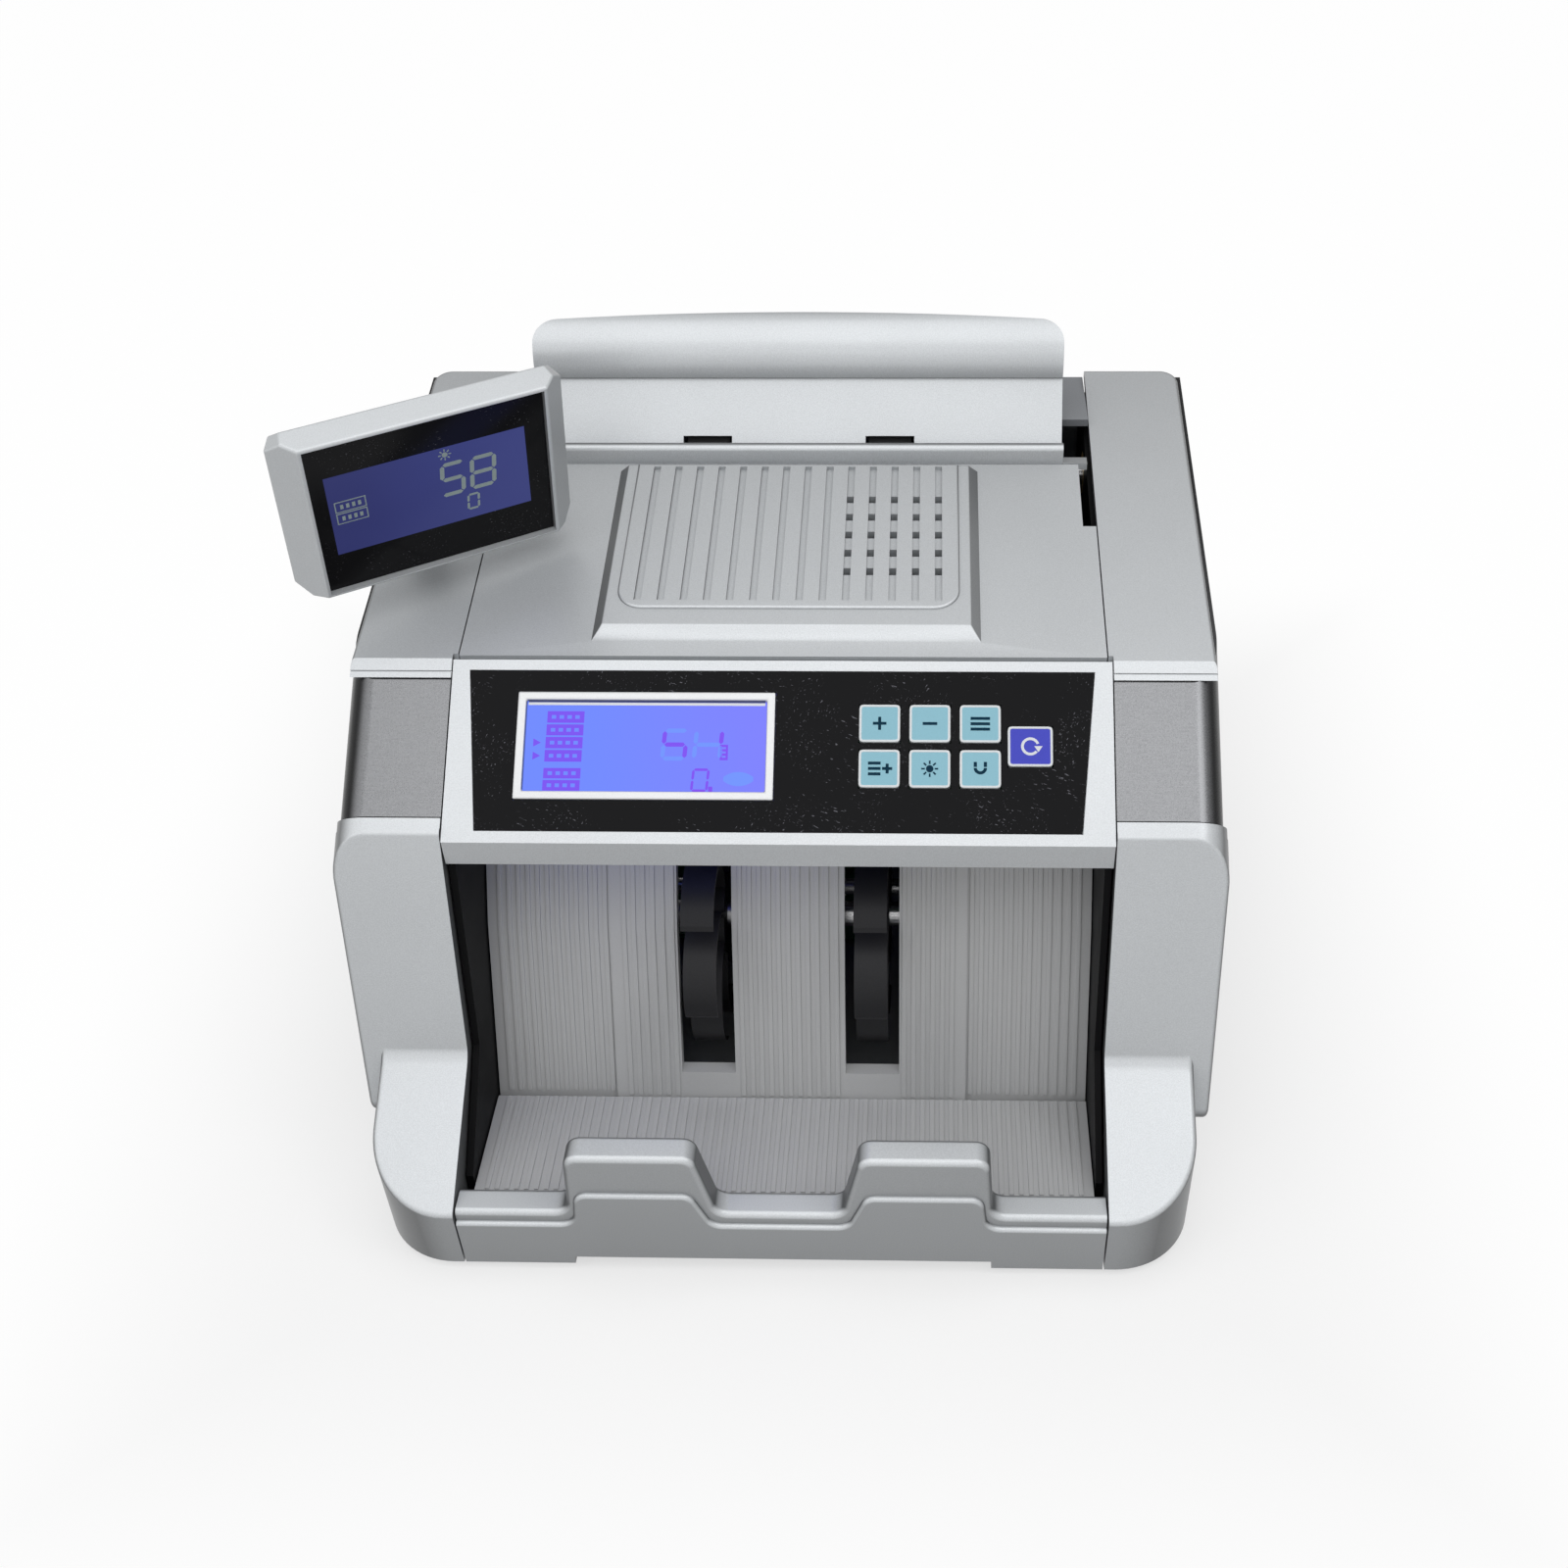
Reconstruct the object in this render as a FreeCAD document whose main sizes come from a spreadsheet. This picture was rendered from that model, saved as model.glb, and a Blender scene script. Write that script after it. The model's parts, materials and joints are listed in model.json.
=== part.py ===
import FreeCAD, Part
import math
import os
import re

import Sketcher
from FreeCAD import Placement, Rotation, Vector

# A desktop banknote counting machine: a hopper at the rear, a sloped control panel,
# an open stacker pocket at the front and a separate swivelling display on the left.
# Machine axes: X to the right, Y to the rear from the front face, Z up from the table.

DIMENSIONS = {
    # whole machine
    "origin_x": 5.67, "origin_y": -121.0,
    "body_half": 130.0, "body_rear": 240.0, "wall": 2.4, "gap": 0.4, "base_z": 3.0,
    # lower side housings: leaning face, rim, ramp and rounded foot
    "cheek_in": 97.0, "cheek_top": 113.0, "face_y": 58.5, "kink_y": 42.4, "kink_z": 49.0,
    "side_y": 36.3, "side_z": 24.5, "side_tip": 6.0, "shoulder": 13.0, "rim_edge": 1.5, "kink_reach": 3.6,
    "rim_top": 48.3, "rim_step": 51.5, "rim_low": 85.0, "rim_deep": 16.0, "rim_proud": 0.9, "rim_rise": 0.4,
    "foot_half": 124.0, "foot_corner": 24.0, "foot_rear": 60.0, "foot_z": 25.5, "foot_edge": 2.0,
    # sloped front plane, shared by the control panel and the side bands
    "panel_y": 104.57, "panel_z": 153.36, "panel_slope": 36.0, "panel_half": 96.6, "panel_long": 55.4,
    "panel_thick": 3.0, "lip_drop": 8.3, "nose": 6.0, "nose_step": 3.8, "band_corner": 9.0,
    "band_half": 128.5,
    "band_in": 97.0, "overlay_top": 91.4, "overlay_low": 87.2, "overlay_y1": 3.7, "overlay_y2": 51.8,
    "overlay_thick": 0.6,
    # panel display and keys
    "lcd_x": -39.0, "lcd_s": 26.4, "lcd_wide": 75.3, "lcd_high": 32.3, "lcd_rim": 2.5,
    "key_wide": 11.9, "key_high": 11.3, "key_x1": 29.0, "key_pitch_x": 14.55, "key_s1": 19.4,
    "key_pitch_s": 13.5, "key_play": 0.2, "key_proud": 0.5, "key_deep": 3.1,
    "restart_x": 72.5, "restart_s": 26.1, "restart_wide": 13.0, "restart_high": 12.0,
    # top plane, shared by the centre cover and the side covers
    "top_y": 105.25, "top_z": 153.46, "top_slope": 10.0, "lid_half": 95.2, "lid_long": 87.0,
    "lid_thick": 2.5, "notch_x": 91.1, "notch_y": 57.4, "stage_x": 0.8, "stage_half": 57.7, "stage_y1": 6.5,
    "stage_y2": 83.8, "stage_high": 3.0, "stage_side": 3.0, "stage_front": 4.2,
    "plate_half": 51.5, "plate_y1": 17.2, "plate_y2": 82.7, "plate_high": 0.8, "plate_corner": 8.0,
    "groove_wide": 2.2, "groove_deep": 1.2, "groove_pitch": 6.94, "groove_y1": 20.2, "groove_y2": 81.3,
    "vent_wide": 2.2, "vent_long": 3.1, "vent_pitch": 8.2, "vent_y1": 32.3,
    "lid_edge": 0.7, "cover_in": 95.6, "cover_half": 127.0, "cover_edge": 1.2, "cover_corner": 6.0,
    # hopper
    "rest_y": 201.6, "rest_z": 169.8, "rest_angle": 55.0, "rest_half": 86.3, "rest_low": -14.0,
    "rest_high": 39.4, "rest_crown": 3.0, "rest_thick": 2.5, "rest_corner": 8.0, "roll_low": 21.4,
    "roll_proud": 6.0, "fence_y": 193.1, "fence_thick": 3.8, "fence_low": 165.4, "fence_high": 173.7,
    # stacker pocket
    "lip_half": 96.5, "lip_deep": 10.4, "lip_flat": 26.0, "tab_in": 24.0, "tab_out": 63.0, "tab_top": 51.5,
    "tab_foot": 18.5, "step_deep": 1.4, "step_flat": 22.0, "step_tab": 36.0, "arch_half": 63.0,
    "arch_high": 3.2, "lip_round": 4.5, "lip_edge": 1.8, "step_edge": 1.2, "pocket_half": 93.8,
    "floor_z": 19.5, "floor_y1": 13.0, "wall_y1": 52.5, "wall_y2": 76.0, "wall_z2": 72.0,
    "wall_y3": 99.0, "wall_z3": 108.0, "slot_in": 17.5, "slot_out": 34.5,
    "slot_low": 27.0, "slot_high": 103.0, "pad_half": 55.5, "pad_proud": 1.5,
    # frame plates and shafts
    "plate_in": 94.2, "plate_out": 96.2, "bush_r": 7.0, "shaft_r": 4.0, "run": 0.05, "belt_gap": 0.35,
    "belt_thick": 1.2, "feed_y": 208.0, "feed_z": 155.8, "feed_r": 14.0, "drive_y": 178.0, "drive_z": 137.0,
    "drive_r": 16.0, "press_y": 153.4, "press_z": 137.0, "press_r": 8.0, "stack_y": 94.0, "stack_z": 60.0,
    "stack_r": 41.0, "stack_hub": 13.0, "wheel_x": 26.0, "wheel_wide": 10.0, "motor_y": 196.0,
    "motor_z": 48.0, "motor_r": 19.0, "rear_top": 174.4, "rocker_y": 237.0, "rocker_z": 40.0,
    "rocker_tilt": 8.0,
    # swivelling display
    "disp_x": -98.8, "disp_y": 125.6, "disp_z": 196.5, "disp_yaw": 31.0, "disp_pitch": 100.0,
    "disp_half": 43.1, "disp_high": 28.4, "disp_deep": 14.0, "disp_chamfer": 7.2, "disp_taper": 6.0,
    "disp_corner": 5.0, "disp_edge": 1.0, "window_half": 34.8, "window_high": 25.7, "pin_y": -4.0,
    "pin_z": -34.0, "pin_r": 2.0,
    "post_r": 4.5, "spigot_r": 5.0, "socket_r": 8.0, "socket_z": 170.8,
}

doc = FreeCAD.newDocument("note_counter")
sheet = doc.addObject("Spreadsheet::Sheet", "sheet")
for row, (alias, value) in enumerate(DIMENSIONS.items(), start=1):
    sheet.set(f"A{row}", alias)
    sheet.set(f"B{row}", str(value))
    sheet.setAlias(f"B{row}", alias)
doc.recompute()

PARTS = []
PLANES = {
    "XY": Rotation(),
    "YZ": Rotation(Vector(1, 1, 1), 120),
    "XZ": Rotation(Vector(1, 0, 0), 90),
}
SIDES = (("left", -1), ("right", 1))


def expr(text):
    """Turn a formula over dimension names into an expression over the sheet."""
    return re.sub(r"[a-z_][a-z_0-9]*", lambda m: "sheet." + m[0] if m[0] in DIMENSIONS else m[0], str(text))


def num(text):
    """Give the present value of a formula."""
    return float(sheet.evalExpression(expr(text)))


def bind(obj, formulas):
    """Bind properties of an object to formulas."""
    for prop, text in formulas.items():
        obj.setExpression(prop, expr(text))
    return obj


def place_at(x, y, z):
    """Formulas for the corner of a primitive."""
    return {"Placement.Base.x": x, "Placement.Base.y": y, "Placement.Base.z": z}


def box(name, x, y, z):
    """A block between pairs of limits."""
    obj = doc.addObject("Part::Box", name)
    limits = (("Length", x), ("Width", y), ("Height", z))
    sizes = {name: f"({high}) - ({low})" for name, (low, high) in limits}
    return bind(obj, {**sizes, **place_at(x[0], y[0], z[0])})


def rod(name, radius, x, y, z):
    """A cylinder along X between two limits."""
    obj = doc.addObject("Part::Cylinder", name)
    obj.Placement = Placement(Vector(), Rotation(Vector(0, 1, 0), 90))
    return bind(obj, {"Radius": radius, "Height": f"({x[1]}) - ({x[0]})", **place_at(x[0], y, z)})


def pin(name, radius, x, y, z):
    """A cylinder along Z between two limits."""
    obj = doc.addObject("Part::Cylinder", name)
    return bind(obj, {"Radius": radius, "Height": f"({z[1]}) - ({z[0]})", **place_at(x, y, z[0])})


def outline(name, plane, points):
    """A closed sketch. A point with four entries starts an arc through its second pair."""
    sketch = doc.addObject("Sketcher::SketchObject", name)
    sketch.Placement = Placement(Vector(), PLANES[plane])
    places = [Vector(num(point[0]), num(point[1]), 0) for point in points]
    ends = []
    for index, point in enumerate(points):
        start, end = places[index], places[(index + 1) % len(points)]
        backwards = False
        if len(point) == 4:
            middle = Vector(num(point[2]), num(point[3]), 0)
            backwards = (middle - start).cross(end - middle).z < 0
            sketch.addGeometry(Part.Arc(end, middle, start) if backwards else Part.Arc(start, middle, end))
        else:
            sketch.addGeometry(Part.LineSegment(start, end))
        ends.append((2, 1) if backwards else (1, 2))

    def fix(geometry, vertex, x, y):
        for kind, text in (("DistanceX", x), ("DistanceY", y)):
            number = sketch.addConstraint(Sketcher.Constraint(kind, -1, 1, geometry, vertex, num(text)))
            sketch.setExpression(f"Constraints[{number}]", expr(text))

    for index, point in enumerate(points):
        after = (index + 1) % len(points)
        joined = (index, ends[index][1], after, ends[after][0])
        sketch.addConstraint(Sketcher.Constraint("Coincident", *joined))
        fix(index, ends[index][0], point[0], point[1])
    for index, point in enumerate(points):
        if len(point) == 4:
            marker = sketch.addGeometry(Part.Point(Vector(num(point[2]), num(point[3]), 0)), True)
            fix(marker, 1, point[2], point[3])
            sketch.addConstraint(Sketcher.Constraint("PointOnObject", marker, 1, index))
    return sketch


def prism(name, plane, points, span):
    """Extrude a closed outline square to its plane, between two limits."""
    sketch = outline(name + "_outline", plane, points)
    axis, start = {"XY": ("z", span[0]), "YZ": ("x", span[0]), "XZ": ("y", span[1])}[plane]
    bind(sketch, {f"Placement.Base.{axis}": start})
    obj = doc.addObject("Part::Extrusion", name)
    obj.Base = sketch
    obj.DirMode = "Normal"
    obj.Solid = True
    return bind(obj, {"LengthFwd": f"({span[1]}) - ({span[0]})"})


def rectangle(u, v):
    """Corner points of an upright rectangle."""
    return [(u[0], v[0]), (u[1], v[0]), (u[1], v[1]), (u[0], v[1])]


def block(name, x, y, z):
    """A block drawn as a sketch, for edges that are rounded later."""
    return prism(name, "XY", rectangle(x, y), z)


def fuse(name, *shapes):
    """Join solids."""
    obj = doc.addObject("Part::MultiFuse", name)
    obj.Shapes = list(shapes)
    obj.Refine = True
    return obj


def common(name, *shapes):
    """Keep what solids share."""
    obj = doc.addObject("Part::MultiCommon", name)
    obj.Shapes = list(shapes)
    obj.Refine = True
    return obj


def cut(name, base, *tools):
    """Take tools away from a solid."""
    obj = doc.addObject("Part::Cut", name)
    obj.Base = base
    obj.Tool = tools[0] if len(tools) == 1 else fuse(name + "_tools", *tools)
    return obj


def group(name, *shapes):
    """Hold separate solids of one kind together."""
    obj = doc.addObject("Part::Compound", name)
    obj.Links = list(shapes)
    return obj


def rounded(name, base, radius, pick):
    """Round the edges that the pick function accepts."""
    doc.recompute()
    body = doc.addObject("PartDesign::Body", name)
    body.BaseFeature = base
    doc.recompute()
    first = body.Group[0]
    names = [f"Edge{i}" for i, edge in enumerate(first.Shape.Edges, start=1) if pick(edge)]
    edges = body.newObject("PartDesign::Fillet", name + "_edges")
    edges.Base = (first, names)
    bind(edges, {"Radius": radius})
    body.Tip = edges
    return body


def runs_along(edge, axis):
    """Tell whether an edge is straight and parallel to an axis."""
    start, end = edge.Vertexes[0].Point, edge.Vertexes[-1].Point
    travel = end - start
    if travel.Length < 1e-6 or len(edge.Vertexes) != 2:
        return False
    return abs(abs(travel.normalize().dot(axis)) - 1) < 1e-6


def near(edge, x=None, y=None, z=None, slack=0.05):
    """Tell whether an edge's middle lies at the given coordinates."""
    middle = edge.CenterOfMass
    wanted = ((x, middle.x), (y, middle.y), (z, middle.z))
    return all(want is None or abs(want - have) < slack for want, have in wanted)


AXIS_X, AXIS_Y, AXIS_Z = Vector(1, 0, 0), Vector(0, 1, 0), Vector(0, 0, 1)


def finish(label, obj):
    """Name a sub-part that is drawn in machine axes and set it in the part's frame."""
    return finish_at(label, obj, "0", "0", "0", "0")


def finish_at(label, obj, x, y, z, angle):
    """Name a sub-part drawn in a frame that is turned about X, and set it in place."""
    if obj.TypeId in ("Part::Box", "Part::Cylinder"):
        obj = group(label + "_piece", obj)
    obj.Label = label
    obj.Placement = Placement(Vector(), Rotation(AXIS_X, num(angle)))
    if angle != "0":
        bind(obj, {"Placement.Rotation.Angle": angle})
    bind(obj, place_at(f"origin_x + {x}", f"origin_y + {y}", z))
    PARTS.append(obj)
    return obj


def on_panel(label, obj):
    return finish_at(label, obj, "0", "panel_y", "panel_z", "panel_slope")


def on_top(label, obj):
    return finish_at(label, obj, "0", "top_y", "top_z", "top_slope")


def on_rest(label, obj):
    return finish_at(label, obj, "0", "rest_y", "rest_z", "rest_angle")


def display_turn():
    return Rotation(AXIS_Z, num("disp_yaw")) * Rotation(AXIS_X, num("disp_pitch"))


def on_display(label, obj):
    """Set a sub-part drawn in the display's own frame."""
    if obj.TypeId in ("Part::Box", "Part::Cylinder"):
        obj = group(label + "_piece", obj)
    obj.Label = label
    obj.Placement = Placement(Vector(), display_turn())
    bind(obj, place_at("origin_x + disp_x", "origin_y + disp_y", "disp_z"))
    PARTS.append(obj)
    return obj


def span(side, low, high):
    """Limits along X on the left or the right, lowest first."""
    return (low, high) if side > 0 else (f"-({high})", f"-({low})")


# Front plane heights: the sloped plane and the top plane at a given depth
def slope_z(y):
    return f"(panel_z + ({y} - panel_y) * tan(panel_slope * 1 deg))"


def top_plane_z(y):
    return f"(top_z + ({y} - top_y) * tan(top_slope * 1 deg))"


def slope_point(down, out):
    """Formulas for a point on the sloped plane, given how far down it and out of it."""
    lean, rise = "cos(panel_slope * 1 deg)", "sin(panel_slope * 1 deg)"
    y = f"(panel_y - ({down}) * {lean} - ({out}) * {rise})"
    z = f"(panel_z - ({down}) * {rise} + ({out}) * {lean})"
    return (y, z)


def unit(run, rise):
    """Formulas for the direction of a slope."""
    return f"(({run}) / sqrt(({run})^2 + ({rise})^2))", f"(({rise}) / sqrt(({run})^2 + ({rise})^2))"


# Lower side housings
def rim_step(name, side, high, low, proud, reach, grow):
    """One step of the rim between the leaning face and the side band, rounded at its outer end."""
    top = f"{proud} + {grow}"
    corners = [slope_point(f"{high} - {grow}", top), slope_point(low, top),
               slope_point(low, "-rim_deep"), slope_point(f"{high} - {grow}", "-rim_deep")]
    blank = prism(name + "_blank", "YZ", corners, span(side, f"cheek_in - {grow}", f"{reach} + {grow}"))
    x = side * num(f"{reach} + {grow}")
    y, z = [(num(corners[0][i]) + num(corners[1][i])) / 2 for i in (0, 1)]
    radius = f"band_corner + body_half - band_half + {top}"
    return rounded(name, blank, radius, lambda e: near(e, x=x, y=y, z=z))


def cheek_solid(name, side, grow):
    """Outer form of a lower side housing, grown outwards by a clearance."""
    peak = f"kink_y - {grow} + (130 - kink_z) * (face_y - kink_y) / (cheek_top - kink_z)"
    profile = [
        (f"side_y - {grow}", f"side_z - {grow}"), (f"kink_y - {grow}", "kink_z"), (peak, "130"),
        (f"body_rear + {grow}", "130"), (f"body_rear + {grow}", f"side_z - {grow}"),
    ]
    along = prism(name + "_side", "YZ", profile, span(side, f"cheek_in - {grow}", f"body_half + {grow}"))
    x_out, top = f"{side} * (body_half + {grow})", f"cheek_top + {grow}"
    reach = f"0.2929 * (shoulder + {grow})"
    x_flat, x_mid = f"{side} * (body_half - shoulder)", f"{side} * (body_half + {grow} - {reach})"
    front = [
        (f"{side} * (cheek_in - {grow})", "side_z - 1"), (x_out, "side_z - 1"),
        (x_out, "cheek_top - shoulder", x_mid, f"{top} - {reach}"),
        (x_flat, top), (f"{side} * (cheek_in - {grow})", top),
    ]
    across = prism(name + "_front", "XZ", front, ("0", "body_rear + 2"))
    outer = rim_step(name + "_outer_step", side, "rim_step", "rim_low", "rim_proud", "body_half", grow)
    inner = rim_step(name + "_inner_step", side, "rim_top", "rim_step + 1", "rim_rise",
                     "body_half - 0.15", grow)
    return common(name, along, fuse(name + "_forms", across, outer, inner))


def on_leaning_rim(edge, side):
    """Tell whether an edge bounds the leaning face on its outer or its upper side."""
    middle = edge.CenterOfMass
    lean = (num("face_y") - num("kink_y")) / (num("cheek_top") - num("kink_z"))
    on_face = abs(middle.y - num("kink_y") - (middle.z - num("kink_z")) * lean) < 0.05
    outer = side * middle.x > num("body_half") - num("shoulder") - 1 and edge.BoundBox.ZLength > 1
    upper = middle.z > num("cheek_top") + 4
    return on_face and middle.z > num("kink_z") and (outer or upper)


def on_ramp_rim(edge):
    """Tell whether an edge bounds the foot's ramp at the front or at its outer side."""
    rise = (num("kink_z") - num("foot_z") + 0.5) / (num("kink_y") + 1)
    points = [vertex.Point for vertex in edge.Vertexes]
    start_y, start_z = num("kink_y"), num("kink_z")
    on_face = all(abs(point.z - start_z - (point.y - start_y) * rise) < 0.05 for point in points)
    inner = all(abs(abs(point.x) - num("cheek_in")) < 0.05 for point in points)
    rear = all(abs(point.y - num("kink_y")) < 0.05 for point in points)
    return on_face and not inner and not rear


def cheek(label, side):
    form = cheek_solid(label + "_form", side, "0")
    tip = rounded(label + "_tip", form, "side_tip",
                  lambda e: runs_along(e, AXIS_X) and near(e, y=num("side_y"), z=num("side_z")))
    rim = rounded(label + "_rim", tip, "rim_edge", lambda e: on_leaning_rim(e, side))
    inner_profile = [
        ("side_y + wall", "side_z - 2"), ("side_y + wall + 1", "side_z"), ("kink_y + wall + 0.6", "kink_z"),
        ("face_y + wall", "cheek_top - wall"), ("body_rear - wall", "cheek_top - wall"),
        ("body_rear - wall", "side_z - 2"),
    ]
    inside = span(side, "cheek_in + wall", "body_half - wall")
    hollow_side = prism(label + "_hollow_side", "YZ", inner_profile, inside)
    x_out, reach = f"{side} * (body_half - wall)", "0.2929 * (shoulder - wall)"
    front = [
        (f"{side} * (cheek_in - 1)", "side_z - 3"), (x_out, "side_z - 3"),
        (x_out, "cheek_top - shoulder", f"{x_out} - {side} * {reach}", f"cheek_top - wall - {reach}"),
        (f"{side} * (body_half - shoulder)", "cheek_top - wall"),
        (f"{side} * (cheek_in - 1)", "cheek_top - wall"),
    ]
    hollow_front = prism(label + "_hollow_front", "XZ", front, ("0", "body_rear"))
    hollow = common(label + "_hollow", hollow_side, hollow_front)
    open_side = box(label + "_open_side", span(side, "cheek_in - 1", "cheek_in + wall + 1"),
                    ("72", "body_rear - wall"), ("side_z - 2", "cheek_top - wall"))
    open_low = box(label + "_open_low", span(side, "cheek_in - 1", "cheek_in + wall + 1"),
                   ("foot_rear + 0.5", "80"), ("side_z - 2", "32"))
    well = box(label + "_well", span(side, "cheek_in - 1", "body_half - shoulder"),
               ("face_y + 24", "body_rear - wall"), ("cheek_top - wall - 1", "cheek_top + 1"))
    shell = cut(label + "_shell", rim, hollow, open_side, open_low, well)
    edge = ("cheek_in", "foot_half")
    plan = [
        (f"{side} * {edge[0]}", "0"), (f"{side} * ({edge[1]} - foot_corner)", "0",
         f"{side} * ({edge[1]} - 0.2929 * foot_corner)", "0.2929 * foot_corner"),
        (f"{side} * {edge[1]}", "foot_corner"), (f"{side} * {edge[1]}", "foot_rear"),
        (f"{side} * {edge[0]}", "foot_rear"),
    ]
    slab = prism(label + "_foot_plan", "XY", plan, ("base_z", "kink_z + 4"))
    ramp_y, ramp_z = unit("kink_y + 1", "kink_z - foot_z + 0.5")
    lean_y, lean_z = unit("face_y - kink_y", "cheek_top - kink_z")
    bend = (f"kink_y - kink_reach * {ramp_y}", f"kink_z - kink_reach * {ramp_z}",
            f"kink_y + 0.26 * kink_reach * ({lean_y} - {ramp_y})",
            f"kink_z + 0.26 * kink_reach * ({lean_z} - {ramp_z})")
    crest = f"kink_z + kink_reach * {lean_z}"
    ramp = [("-1", "base_z - 1"), ("-1", "foot_z - 0.5"), bend,
            (f"kink_y + kink_reach * {lean_y} + 0.2", crest),
            ("foot_rear", crest), ("foot_rear", "base_z - 1")]
    wedge = prism(label + "_ramp", "YZ", ramp, span(side, "cheek_in - 2", "foot_half + 2"))
    foot = common(label + "_foot", slab, wedge)
    cavity = box(label + "_foot_cavity", span(side, "cheek_in + wall", "foot_half - wall"),
                 ("foot_corner", "foot_rear + 1"), ("base_z + wall", "kink_z - 15"))
    soft = rounded(label + "_foot_soft", foot, "foot_edge", on_ramp_rim)
    finish(label, fuse(label + "_whole", shell, cut(label + "_foot_open", soft, cavity)))


# Side bands: metallic wraps between the lower housings and the side covers
def band(label, side):
    low, low_z = slope_point("rim_top - gap", "0")
    head, head_z = slope_point("nose + 0.6", "0")
    floor = "cheek_top - shoulder - 4"
    rise = "tan(top_slope * 1 deg)"
    profile = [(low, floor), (low, low_z), (head, head_z),
               ("body_rear", f"{head_z} + (body_rear - {head}) * {rise}"), ("body_rear", floor)]
    wedge = prism(label + "_wedge", "YZ", profile, span(side, "band_in", "band_half"))
    height = (num(low_z) + num(head_z)) / 2
    edge_x, inner_x = side * num("band_half"), side * num("band_half - wall")
    form = rounded(label + "_form", wedge, "band_corner",
                   lambda e: near(e, x=edge_x) and near(e, z=height, slack=0.5))
    back = "wall / sin(panel_slope * 1 deg)"
    inner = [
        (f"{low} + {back}", "cheek_top - shoulder - 8"), (f"{low} + {back}", low_z),
        (f"{head} + {back}", head_z), (f"{head} + {back}", "200"),
        ("body_rear - wall", "200"), ("body_rear - wall", "cheek_top - shoulder - 8"),
    ]
    room = prism(label + "_room", "YZ", inner, span(side, "band_in - 1", "band_half - wall"))
    soft_room = rounded(label + "_room_soft", room, "band_corner - wall",
                        lambda e: near(e, x=inner_x) and near(e, z=height, slack=0.5))
    finish(label, cut(label + "_shell", form, soft_room, cheek_solid(label + "_clear", side, "0.3")))


# Side covers: the flat tops beside the centre cover, with a stepped nose on the sloped plane
def side_cover(label, side):
    front = "panel_y - 0.04"
    drop, drop_z = slope_point("nose", "0")
    rise = math.tan(math.radians(num("top_slope")))
    profile = [
        (front, top_plane_z("(" + front + ")")), ("body_rear", top_plane_z("body_rear")),
        ("body_rear", f"{drop_z} + (body_rear - {drop}) * tan(top_slope * 1 deg)"), (drop, drop_z),
    ]
    plate = prism(label + "_plate", "YZ", profile, span(side, "cover_in", "cover_half"))
    out = side * num("cover_half")
    corner = rounded(label + "_corner", plate, "cover_corner",
                     lambda e: near(e, x=out, y=num("body_rear")) and runs_along(e, AXIS_Z))

    def on_top_rim(edge):
        middle = edge.CenterOfMass
        height = num("top_z") + (middle.y - num("top_y")) * rise
        return near(edge, x=out) and edge.BoundBox.YLength > 60 and abs(middle.z - height) < 0.1
    soft = rounded(label + "_soft", corner, "cover_edge", on_top_rim)
    groove = [slope_point("nose_step", "1"), slope_point("nose_step + 0.5", "1"),
              slope_point("nose_step + 0.5", "-0.5"), slope_point("nose_step", "-0.5")]
    line = prism(label + "_groove", "YZ", groove, span(side, "cover_in - 1", "cover_half + 1"))
    jog = box(label + "_jog", span(side, "cover_in - 1", "panel_half + gap"),
              ("90", "top_y + 1.2"), ("140", "160"))
    finish(label, cut(label + "_cut", soft, line, jog))


for side_name, side_sign in SIDES:
    cheek(side_name + "_cheek", side_sign)
    band(side_name + "_band", side_sign)
    side_cover(side_name + "_top_cover", side_sign)


# Control panel, drawn flat: Y up the slope from its top edge, Z out of its face
def key_places():
    """Names, places and sizes of the keys on the panel."""
    names = (("key_plus", "key_minus", "key_batch"), ("key_add", "key_lamp", "key_magnet"))
    found = []
    for row, row_names in enumerate(names):
        for column, name in enumerate(row_names):
            place = f"key_x1 + {column} * key_pitch_x", f"-(key_s1 + {row} * key_pitch_s)"
            found.append((name, *place, "key_wide", "key_high"))
    found.append(("key_restart", "restart_x", "-restart_s", "restart_wide", "restart_high"))
    return found


def key_block(name, place, grow, z):
    """A block on a key's place, grown by a clearance."""
    _, x, y, wide, high = place
    return block(name, (f"{x} - ({wide}) / 2 - {grow}", f"{x} + ({wide}) / 2 + {grow}"),
               (f"{y} - ({high}) / 2 - {grow}", f"{y} + ({high}) / 2 + {grow}"), z)


def lcd_block(name, inset, z):
    """A block on the panel display's place, drawn in by an inset."""
    return box(name, (f"lcd_x - lcd_wide / 2 + ({inset})", f"lcd_x + lcd_wide / 2 - ({inset})"),
               (f"-lcd_s - lcd_high / 2 + ({inset})", f"-lcd_s + lcd_high / 2 - ({inset})"), z)


def overlay_outline(grow):
    top, low = f"-overlay_y1 + {grow}", f"-overlay_y2 - {grow}"
    return [(f"-overlay_top - {grow}", top), (f"-overlay_low - {grow}", low),
            (f"overlay_low + {grow}", low), (f"overlay_top + {grow}", top)]


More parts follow.
